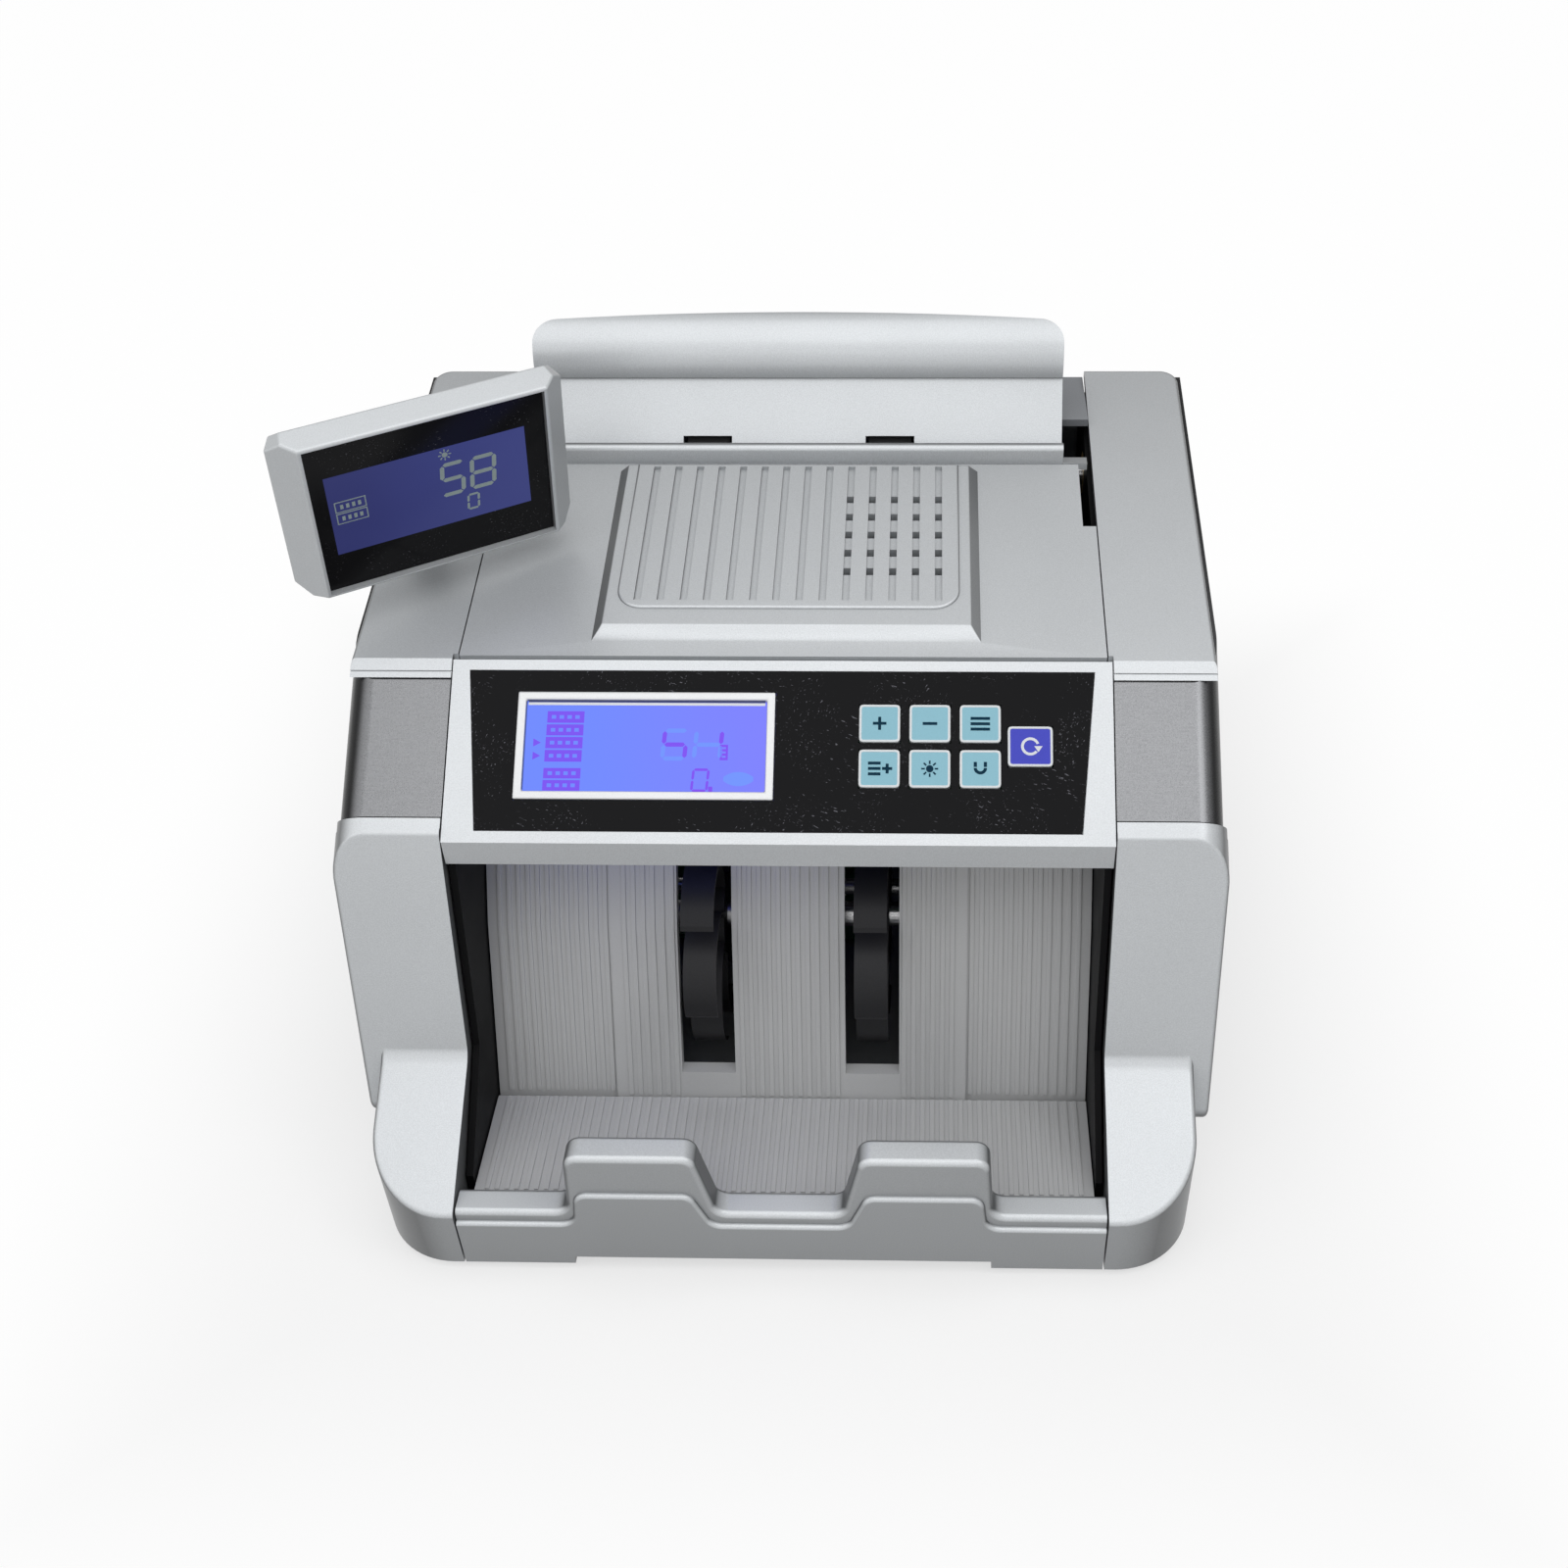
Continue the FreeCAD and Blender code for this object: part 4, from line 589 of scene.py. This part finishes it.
def piece(
    name: str, mesh: bmesh.types.BMesh, body: str, finishes: Sequence[Finish], smooth: float
) -> bpy.types.Object:
    """Make an object of a mesh that is already in the row frame.

    Args:
        name: Name of the piece.
        mesh: Its mesh, which is freed.
        body: CAD body that it moves with.
        finishes: Finishes by material slot.
        smooth: Angle below which faces blend, in degrees.

    Returns:
        The piece.
    """
    mesh.normal_update()
    for face in mesh.faces:
        face.smooth = True
    for edge in mesh.edges:
        edge.smooth = edge.calc_face_angle(0.0) < math.radians(smooth)
    data = bpy.data.meshes.new(name)
    mesh.to_mesh(data)
    mesh.free()
    for finish in finishes:
        data.materials.append(finish.material())
    made = bpy.data.objects.new(name, data)
    even = made.modifiers.new("even_normals", "WEIGHTED_NORMAL")
    even.mode = "FACE_AREA_WITH_ANGLE"
    even.keep_sharp = True
    bpy.context.scene.collection.objects.link(made)
    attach(made, body)
    log.info("piece %s with %d faces on %s", name, len(data.polygons), body)
    return made


def arc(middle: Point, radius: float, start: float, end: float, steps: int) -> Outline:
    """Give points along an arc between two angles in degrees."""
    angles = [math.radians(start + (end - start) * step / steps) for step in range(steps + 1)]
    return [(middle[0] + radius * math.cos(angle), middle[1] + radius * math.sin(angle)) for angle in angles]


def bar(middle: Point, wide: float, high: float) -> Outline:
    """Give an upright rectangle."""
    x, y = middle
    across, up = wide / 2, high / 2
    return [(x - across, y - up), (x + across, y - up), (x + across, y + up), (x - across, y + up)]


def rounded_rectangle(middle: Point, wide: float, high: float, radius: float) -> Outline:
    """Give a rectangle with round corners."""
    points: Outline = []
    for count, centre in enumerate(bar(middle, wide - 2 * radius, high - 2 * radius)):
        points += arc(centre, radius, 180.0 + 90.0 * count, 270.0 + 90.0 * count, 4)
    return points


def cross(middle: Point, wide: float, thick: float) -> Outline:
    """Give a plus sign as one outline."""
    arm, half = wide / 2, thick / 2
    quarter = [Vector((arm, -half)), Vector((arm, half)), Vector((half, half))]
    turns = [Matrix.Rotation(math.radians(90 * count), 2) for count in range(4)]
    return [tuple(Vector(middle) + turn @ corner) for turn in turns for corner in quarter]


def ring(middle: Point, inner: float, outer: float, start: float, end: float, steps: int = 20) -> Outline:
    """Give part of a ring.

    Args:
        middle: Its middle.
        inner: Inner radius.
        outer: Outer radius.
        start: First angle in degrees.
        end: Last angle in degrees.
        steps: Straight pieces along it.

    Returns:
        The outline.
    """
    return arc(middle, outer, start, end, steps) + arc(middle, inner, start, end, steps)[::-1]


def disc(middle: Point, radius: float, steps: int = 20) -> Outline:
    """Give a disc."""
    return arc(middle, radius, 0.0, 360.0, steps)[:-1]


def sun(middle: Point, radius: float) -> list[Outline]:
    """Give a lamp sign: a disc with eight rays."""
    rays = []
    for count in range(8):
        turn = Matrix.Rotation(math.radians(45 * count), 2)
        ray = bar((radius * 0.8, 0.0), radius * 0.42, radius * 0.2)
        rays.append([tuple(Vector(middle) + turn @ Vector(corner)) for corner in ray])
    return [disc(middle, radius * 0.45), *rays]


@dataclass(frozen=True)
class Digit:
    """A seven-bar digit on a screen.

    Attributes:
        low: Its lower left corner.
        wide: Width.
        high: Height.
        thick: Width of a bar.
        slant: Lean to the right per unit of height.
    """

    low: Point
    wide: float
    high: float
    thick: float
    slant: float = 0.08

    def bars(self, lit: str) -> list[Outline]:
        """Give the named bars, from a at the top round to f, and g across the middle."""
        half, left, right = self.thick / 2, 0.0, self.wide - self.slant * self.high
        low, middle, top = half, self.high / 2, self.high - half
        ends = {
            "a": ((left, top), (right, top)),
            "b": ((right, middle), (right, top)),
            "c": ((right, low), (right, middle)),
            "d": ((left, low), (right, low)),
            "e": ((left, low), (left, middle)),
            "f": ((left, middle), (left, top)),
            "g": ((left, middle), (right, middle)),
        }
        return [self.stroke(Vector(ends[name][0]), Vector(ends[name][1])) for name in lit]

    def stroke(self, start: Vector, end: Vector) -> Outline:
        """Give one bar with pointed ends."""
        half = self.thick / 2
        along = (end - start).normalized() * half
        across = Vector((-along.y, along.x))
        start, end = start + along * 0.3, end - along * 0.3
        corners = [start, start + along - across, end - along - across]
        corners += [end, end - along + across, start + along + across]
        return [(self.low[0] + half + c.x + self.slant * c.y, self.low[1] + c.y) for c in corners]


def skin(node: str, finish: Finish, soft: float = 0.0, smooth: float = 20.0) -> bpy.types.Object:
    """Stand a smooth-shaded copy in for a CAD node.

    Args:
        node: CAD node.
        finish: Its finish.
        soft: Width that its sharp edges are rounded by, in millimetres.
        smooth: Angle below which faces blend, in degrees.

    Returns:
        The piece.
    """
    source = frame["nodes"][node]
    mesh = bmesh.new()
    mesh.from_mesh(source.data)
    bmesh.ops.remove_doubles(mesh, verts=mesh.verts, dist=0.001 * MM)
    if soft > 0:
        bmesh.ops.dissolve_limit(mesh, angle_limit=math.radians(0.4), verts=mesh.verts, edges=mesh.edges)
        round_edges(mesh, soft * MM, 2, 40.0)
    for face in mesh.faces:
        face.material_index = 0
    made = piece(node + "_skin", mesh, source["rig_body"], (finish,), smooth)
    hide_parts(node)
    return made


# Sub-assemblies
@dataclass
class Housing:
    """Outer covers of the machine."""

    def build(self) -> None:
        """Dress the covers."""
        for side in ("left", "right"):
            skin(side + "_cheek", SILVER)
            skin(side + "_band", BAND)
            skin(side + "_top_cover", SILVER)
            skin(side + "_frame_plate", BLACK_PLATE)
        for node in ("centre_cover", "hopper_back_rest", "hopper_fence", "front_lip"):
            skin(node, SILVER)
        for node in ("base_tray", "rear_cover"):
            skin(node, GREY_PLASTIC)
        skin("rubber_feet", RUBBER)
        skin("cover_screws", STEEL)


@dataclass
class Mechanism:
    """Inner works and the ribbed pocket that shows them.

    Attributes:
        pitch: Distance between ribs.
        wide: Width of a rib.
        proud: Height of a rib.
        half: Half the pocket's width.
        pad: Half width of the raised middle of the wall.
        pad_proud: Height of that middle.
        slot: Inner and outer edge of a wheel slot, from the middle.
        wall: Foot, bend and top of the wall's front.
        floor: Front and rear of the floor's top.
    """

    pitch: float = 3.0
    wide: float = 1.5
    proud: float = 0.55
    half: float = 93.8
    pad: float = 55.5
    pad_proud: float = 1.5
    slot: Point = (17.5, 34.5)
    wall: tuple[Point, ...] = ((53.6, 20.0), (76.0, 72.0), (98.6, 107.4))
    floor: tuple[Point, ...] = ((13.4, 20.9), (50.6, 19.55))

    def build(self) -> None:
        """Dress the inner works and rib the pocket."""
        groups = {
            RIBBED: ("stacker_wall", "stacker_floor", "upper_note_guide"),
            RUBBER: ("feed_rollers", "drive_rollers", "motor_belt", "feed_belt", "stacker_belt"),
            STEEL: (
                "feed_shaft", "drive_shaft", "pressure_roller", "stacker_shaft", "tie_rods", "motor_pulley",
            ),
            BRASS: ("shaft_bushes",),
            WHEEL: ("left_finger_wheel", "right_finger_wheel"),
            MOTOR: ("motor", "transformer"),
            BOARD: ("keypad_board", "main_board", "sensor_board"),
            LAMP: ("lamp",),
            BLACK_PLASTIC: ("power_inlet", "switch_frame", "power_rocker"),
        }
        for finish, nodes in groups.items():
            for node in nodes:
                skin(node, finish)
        self.ribs("stacker_wall_ribs", self.wall, (-self.proud, 0.0), True)
        self.ribs("stacker_floor_ribs", self.floor, (0.0, self.proud), False)

    def places(self) -> list[float]:
        """Give the middles of the ribs across the pocket."""
        count = int((self.half - self.wide) // self.pitch)
        return [index * self.pitch for index in range(-count, count + 1)]

    def ribs(self, name: str, line: Sequence[Point], shift: Point, upright: bool) -> None:
        """Lay ribs along a line of the pocket.

        Args:
            name: Name of the piece.
            line: Points of the surface, in Y and Z.
            shift: From the surface to the rib's top.
            upright: Whether the ribs lie on the wall, with its slots and raised middle.
        """
        shape = Shape()
        for x in self.places():
            if upright and self.slot[0] - self.wide < abs(x) < self.slot[1] + self.wide:
                continue
            raised = self.pad_proud if upright and abs(x) < self.pad - self.wide else 0.0
            if upright and raised == 0.0 and abs(x) < self.pad + self.wide:
                continue
            foot = [(y - raised - shift[0] * 0.5, z - shift[1] * 0.5) for y, z in line]
            top = [(y - raised + shift[0], z + shift[1]) for y, z in line]
            shape.prism(foot + top[::-1], Plane.YZ, x - self.wide / 2, x + self.wide / 2)
        shape.soften(0.22, 2, 60.0, lambda edge: abs(edge.verts[0].co.x - edge.verts[1].co.x) < 0.01)
        shape.done(name, "body", (RIBBED,))


@dataclass(frozen=True)
class Key:
    """A key of the panel.

    Attributes:
        node: CAD node that it stands for.
        middle: Its middle on the panel.
        marks: Outlines of its sign, about its middle.
        size: Width and height.
        face: Finish of the face.
        ink: Finish of the sign.
        border: Width of the pale edge.
        top: Height of the edge over the panel.
        foot: Height of the underside.
    """

    node: str
    middle: Point
    marks: tuple[Outline, ...]
    size: Point = (11.9, 11.3)
    face: Finish = KEY_FACE
    ink: Finish = KEY_INK
    border: float = 0.65
    top: float = 0.5
    foot: float = -2.6

    def build(self) -> None:
        """Shape the cap with its pale edge, sunk face and sign."""
        shape = Shape(PANEL)
        faces = shape.prism(rounded_rectangle(self.middle, *self.size, 1.3), Plane.XY, self.foot, self.top)
        head = max(faces, key=lambda face: face.calc_center_median().z)
        bmesh.ops.inset_region(shape.mesh, faces=[head], thickness=self.border)
        bmesh.ops.inset_region(shape.mesh, faces=[head], thickness=0.1, depth=-0.12)
        head.material_index = 1
        shape.soften(0.3, 3, 60.0, self.on_brim)
        x, y = self.middle
        for outline in self.marks:
            placed = [(x + u, y + v) for u, v in outline]
            shape.prism(placed, Plane.XY, self.top - 0.2, self.top - 0.06, 2)
        body = frame["nodes"][self.node]["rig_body"]
        made = shape.done(self.node + "_top", body, (KEY_EDGE, self.face, self.ink))
        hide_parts(self.node)

    def on_brim(self, edge: bmesh.types.BMEdge) -> bool:
        """Tell whether an edge runs round the outside of the top."""
        wide, high = (side / 2 - self.border / 2 for side in self.size)
        for vert in edge.verts:
            x, y = abs(vert.co.x - self.middle[0]), abs(vert.co.y - self.middle[1])
            if vert.co.z <= self.top - 0.01 or (x <= wide and y <= high):
                return False
        return True


class Screen:
    """Flat marks on a screen, gathered into one piece."""

    def __init__(self, seat: Seat, height: float) -> None:
        """Start on a seat, at a height over it."""
        self.shape = Shape(seat)
        self.height = height

    def mark(self, outlines: Sequence[Outline], slot: int, layer: int = 1) -> None:
        """Lay outlines in one finish.

        Args:
            outlines: What is drawn.
            slot: Number of the finish.
            layer: How many layers up it lies.
        """
        for outline in outlines:
            self.shape.prism(outline, Plane.XY, self.height - 0.02, self.height + 0.03 * layer, slot)


@dataclass
class ControlPanel:
    """Sloped panel with its screen and keys.

    Attributes:
        lcd: Middle of the screen.
        lcd_size: Width and height of what is seen of it.
        key_start: Middle of the first key.
        key_pitch: Distance between keys across and down.
        restart: Middle of the large key.
        flag_rows: Upper and lower edge of each row of flags, from the panel's top edge.
        pointed_rows: Rows that have a pointer beside them.
    """

    lcd: Point = (-39.0, -26.4)
    lcd_size: Point = (70.3, 27.3)
    key_start: Point = (29.0, -19.4)
    key_pitch: Point = (14.55, 13.5)
    restart: Point = (72.5, -26.1)
    flag_rows: tuple[Point, ...] = (
        (16.0, 19.5), (20.0, 23.3), (23.8, 27.2), (27.7, 31.2), (33.1, 36.2), (36.7, 39.8),
    )
    pointed_rows: tuple[int, ...] = (2, 3)

    def build(self) -> None:
        """Dress the panel."""
        skin("panel_frame", SILVER)
        skin("panel_overlay", FILM)
        skin("lcd_frame", RIM, soft=0.5)
        skin("lcd_module", LIT)
        self.screen()
        self.keys()

    def keys(self) -> None:
        """Set the keys."""
        thick, rows = 0.85, (-1.6, 0.0, 1.6)
        stack = [bar((0.0, height), 5.6, thick) for height in rows]
        added = [bar((-1.4, height), 3.6, thick) for height in rows] + [cross((2.3, 0.0), 2.9, thick)]
        poles = [bar((side * 1.45, 1.35), 0.9, 1.5) for side in (-1.0, 1.0)]
        magnet = [ring((0.0, 0.3), 1.0, 1.9, 180.0, 360.0), *poles]
        signs = {
            "key_plus": [cross((0.0, 0.0), 3.9, thick)],
            "key_minus": [bar((0.0, 0.0), 4.2, thick)],
            "key_batch": stack,
            "key_add": added,
            "key_lamp": sun((0.0, 0.0), 2.4),
            "key_magnet": magnet,
        }
        for index, (node, marks) in enumerate(signs.items()):
            row, column = divmod(index, 3)
            x = self.key_start[0] + column * self.key_pitch[0]
            y = self.key_start[1] - row * self.key_pitch[1]
            Key(node, (x, y), tuple(marks)).build()
        head = [(1.1, 0.1), (3.5, 0.1), (2.3, -1.7)]
        again = (ring((0.0, 0.0), 1.9, 2.7, 20.0, 320.0), head)
        Key("key_restart", self.restart, again, (13.0, 12.0), BLUE_FACE, WHITE_INK).build()

    def screen(self) -> None:
        """Draw what the screen shows: flags, two large digits and a small one, with a painted shadow and a
        pale strip along its top edge.
        """
        screen = Screen(PANEL, -0.3)
        x, y = self.lcd
        wide, high = self.lcd_size
        # A painted shadow along the top inner edge of the screen, under its rim, then a pale strip below it.
        screen.mark([bar((x, y + high / 2 - 0.3), wide - 1.0, 0.5)], 2)
        screen.mark([bar((x, y + high / 2 - 1.0), wide - 1.0, 0.8)], 3)
        for index, (top, low) in enumerate(self.flag_rows):
            left, middle = -67.9 - 0.07 * index, -(top + low) / 2
            screen.mark([bar((left + 5.4, middle), 10.8, low - top)], 0)
            screen.mark([bar((left + 1.9 + 2.3 * count, middle), 1.3, 1.1) for count in range(4)], 4, 2)
            if index in self.pointed_rows:
                screen.mark([[(-71.6, middle - 1.2), (-69.4, middle), (-71.6, middle + 1.2)]], 0)
        large = Digit((-34.6, -30.7), 7.2, 9.6, 1.25)
        screen.mark(large.bars("fgc"), 0, 2)
        screen.mark(large.bars("ade"), 1)
        second = Digit((-25.4, -30.7), 8.2, 9.6, 1.25)
        screen.mark(second.bars("b"), 0, 2)
        screen.mark(second.bars("cefg"), 1)
        screen.mark([bar((-16.0, -28.2), 2.3, 4.6)], 0)
        screen.mark([bar((-16.0, -28.2 + step), 1.1, 0.6) for step in (-1.3, 0.0, 1.3)], 4, 2)
        screen.mark(Digit((-25.5, -40.0), 4.9, 7.0, 0.75).bars("abcdef"), 0)
        screen.mark([bar((-19.6, -39.2), 1.2, 1.6)], 0)
        leaf = arc((-11.6, -31.2), 7.0, 232.0, 308.0, 12) + arc((-11.6, -41.0), 7.0, 52.0, 128.0, 12)
        screen.mark([leaf], 1)
        finishes = (VIOLET_MARK, GHOST_MARK, PAINTED_SHADOW_LINE, WHITE_INK, LIT)
        made = screen.shape.done("panel_screen_marks", "body", finishes)


@dataclass
class CustomerDisplay:
    """Separate display on its post.

    Attributes:
        area: Left, lower, right and upper edge of its lit area.
        flags: Lower left corner and size of the two flags.
    """

    area: tuple[float, float, float, float] = (-30.2, -13.2, 28.4, 14.3)
    flags: tuple[tuple[float, float, float, float], ...] = ((-28.6, 1.5, 9.0, 3.8), (-28.6, -2.6, 9.0, 3.8))

    def build(self) -> None:
        """Dress the display and draw what it shows."""
        skin("display_housing", DISPLAY_SILVER)
        skin("display_window", WINDOW)
        skin("display_lcd", DIM_PANEL)
        for node in ("display_back", "display_post", "display_socket"):
            skin(node, BLACK_PLASTIC)
        left, low, right, high = self.area
        screen = Screen(SCREEN, -1.0)
        screen.mark([bar(((left + right) / 2, (low + high) / 2), right - left, high - low)], 0)
        for x, y, wide, tall in self.flags:
            middle = x + wide / 2, y + tall / 2
            screen.mark([bar(middle, wide, tall)], 1, 2)
            screen.mark([bar(middle, wide - 0.7, tall - 0.7)], 0, 3)
            screen.mark([bar((x + 2.0 + 1.7 * count, middle[1]), 0.9, 1.5) for count in range(4)], 1, 4)
        screen.mark(Digit((1.6, -3.2), 7.2, 11.9, 1.3).bars("afgcd"), 1, 2)
        screen.mark(Digit((10.5, -3.2), 7.6, 11.6, 1.3).bars("abcdefg"), 1, 2)
        screen.mark(Digit((8.9, -10.2), 3.6, 5.8, 0.7).bars("abcdef"), 1, 2)
        screen.mark(sun((4.4, 11.7), 1.9), 1, 2)
        made = screen.shape.done("display_marks", "display", (DIM_PANEL, PALE_MARK))


@dataclass(frozen=True)
class Lamp:
    """A soft lamp that faces the machine.

    Attributes:
        name: Lamp name.
        place: Its place in machine millimetres.
        size: Its width and height in millimetres.
        power: Its power in watts.
    """

    name: str
    place: Triple
    size: Point
    power: float

    def hang(self, aim: Triple) -> None:
        """Hang the lamp so that it faces a point in machine millimetres."""
        data = bpy.data.lights.new(self.name, "AREA")
        data.shape = "RECTANGLE"
        data.size, data.size_y = (side * MM for side in self.size)
        data.energy = self.power
        made = bpy.data.objects.new(self.name, data)
        start, end = (MACHINE.matrix() @ Vector(point) for point in (self.place, aim))
        made.location = start
        made.rotation_euler = (end - start).to_track_quat("-Z", "Y").to_euler()
        bpy.context.scene.collection.objects.link(made)


@dataclass
class Studio:
    """Floor, lamps and camera.

    Attributes:
        focal: Focal length in pixels of the picture.
        image: Side of the picture in pixels.
        centre: Pixel that the camera faces.
        eye: Place of the camera in machine millimetres.
        elevation: Angle that it looks down by, in degrees.
        yaw: Angle that it looks to the right by, in degrees.
        roll: Turn about its own axis, in degrees.
        sensor: Width of its sensor in millimetres.
        foot: Half the side of the floor that the machine covers, in millimetres.
        aim: Point that the lamps face.
        soft_light: Strength of the light from all round.
        paper: Colours of the floor, for light and for the eye.
        lamps: The lamps.
    """

    focal: float = 1782.0
    image: float = 1600.0
    centre: Point = (901.0, 806.0)
    eye: Triple = (42.7, -308.7, 455.2)
    elevation: float = 40.39
    yaw: float = -1.88
    roll: float = 0.89
    sensor: float = 36.0
    foot: float = 118.0
    aim: Triple = (0.0, 120.0, 100.0)
    soft_light: float = 0.35
    paper: tuple[Colour, Colour] = ((0.5, 0.5, 0.5), (0.95, 0.95, 0.95))
    lamps: tuple[Lamp, ...] = (
        Lamp("key_lamp", (100.0, -150.0, 1300.0), (1500.0, 1500.0), 8.0),
        Lamp("left_lamp", (-1000.0, -300.0, 700.0), (900.0, 900.0), 2.4),
        Lamp("right_lamp", (800.0, -200.0, 1000.0), (350.0, 350.0), 1.0),
        Lamp("front_lamp", (-80.0, -1000.0, 650.0), (900.0, 60.0), 0.4),
    )

    def build(self) -> None:
        """Set the stage."""
        self.floor()
        self.world()
        for lamp in self.lamps:
            lamp.hang(self.aim)
        self.camera()
        bpy.context.scene.view_settings.view_transform = "Standard"

    def floor(self) -> None:
        """Lay a pale floor that reads white to the camera and keeps a soft shadow."""
        mesh = bmesh.new()
        bmesh.ops.create_grid(mesh, x_segments=1, y_segments=1, size=6.0)
        data = bpy.data.meshes.new("floor")
        mesh.to_mesh(data)
        mesh.free()
        made = bpy.data.objects.new("floor", data)
        bpy.context.scene.collection.objects.link(made)
        material = bpy.data.materials.new("floor_paper")
        material.use_nodes = True
        graph = Graph(material.node_tree)
        seen = self.seen(graph)
        paper = graph.node("ShaderNodeBsdfDiffuse", None, {"Color": graph.mix(seen, *self.paper)})
        white = graph.node("ShaderNodeEmission", None, {"Color": WHITE, "Strength": 1.0})
        where = graph.position()
        x, y = (graph.node("ShaderNodeSeparateXYZ", None, {0: where}, axis) for axis in (0, 1))
        outside = ((x - FRONT_MIDDLE[0]).size() - self.foot).larger(y.size() - self.foot)
        share = outside.ramp(-25.0, 0.0, 0.0, 0.6) + outside.ramp(0.0, 150.0, 0.0, 0.38)
        mixed = graph.node("ShaderNodeMixShader", None, {0: seen * share, 1: paper, 2: white})
        graph.node("ShaderNodeOutputMaterial", None, {"Surface": mixed})
        data.materials.append(material)

    def seen(self, graph: Graph) -> Socket:
        """Give 1 for rays from the camera, a mirror or glass, and 0 for light."""
        names = ("Is Camera Ray", "Is Glossy Ray", "Is Transmission Ray")
        rays = [graph.node("ShaderNodeLightPath", None, None, name) for name in names]
        total = rays[0] + rays[1] + rays[2]
        return total.ramp(0.0, 1.0)

    def world(self) -> None:
        """Light softly from all round, and show white to the camera."""
        world = bpy.data.worlds.new("studio")
        world.use_nodes = True
        bpy.context.scene.world = world
        graph = Graph(world.node_tree)
        soft = graph.node("ShaderNodeBackground", None, {"Color": WHITE, "Strength": self.soft_light})
        white = graph.node("ShaderNodeBackground", None, {"Color": WHITE, "Strength": 1.0})
        mixed = graph.node("ShaderNodeMixShader", None, {0: self.seen(graph), 1: soft, 2: white})
        graph.node("ShaderNodeOutputWorld", None, {"Surface": mixed})

    def camera(self) -> None:
        """Stand the camera where it looks down on the machine from the front."""
        rise, yaw, roll = (math.radians(angle) for angle in (self.elevation, self.yaw, self.roll))
        ahead = Vector((math.sin(yaw) * math.cos(rise), math.cos(yaw) * math.cos(rise), -math.sin(rise)))
        level = Vector((math.cos(yaw), -math.sin(yaw), 0.0))
        below = ahead.cross(level)
        right = level * math.cos(roll) + below * math.sin(roll)
        down = below * math.cos(roll) - level * math.sin(roll)
        data = bpy.data.cameras.new("camera")
        data.sensor_width = self.sensor
        data.lens = self.focal / self.image * self.sensor
        data.shift_x = (self.image / 2 - self.centre[0]) / self.image
        data.shift_y = (self.centre[1] - self.image / 2) / self.image
        data.clip_start, data.clip_end = 0.01, 50.0
        made = bpy.data.objects.new("camera", data)
        turn = Matrix((right, -down, -ahead)).transposed().to_4x4()
        made.matrix_world = Matrix.Translation(MACHINE.matrix() @ Vector(self.eye)) @ turn
        bpy.context.scene.collection.objects.link(made)
        bpy.context.scene.camera = made


def main() -> None:
    """Build the machine's looks and the stage."""
    for assembly in (Housing(), Mechanism(), ControlPanel(), CustomerDisplay(), Studio()):
        assembly.build()
        log.info("built %s", type(assembly).__name__)


if __name__ == "__main__":
    logging.basicConfig(level=logging.INFO)
    main()
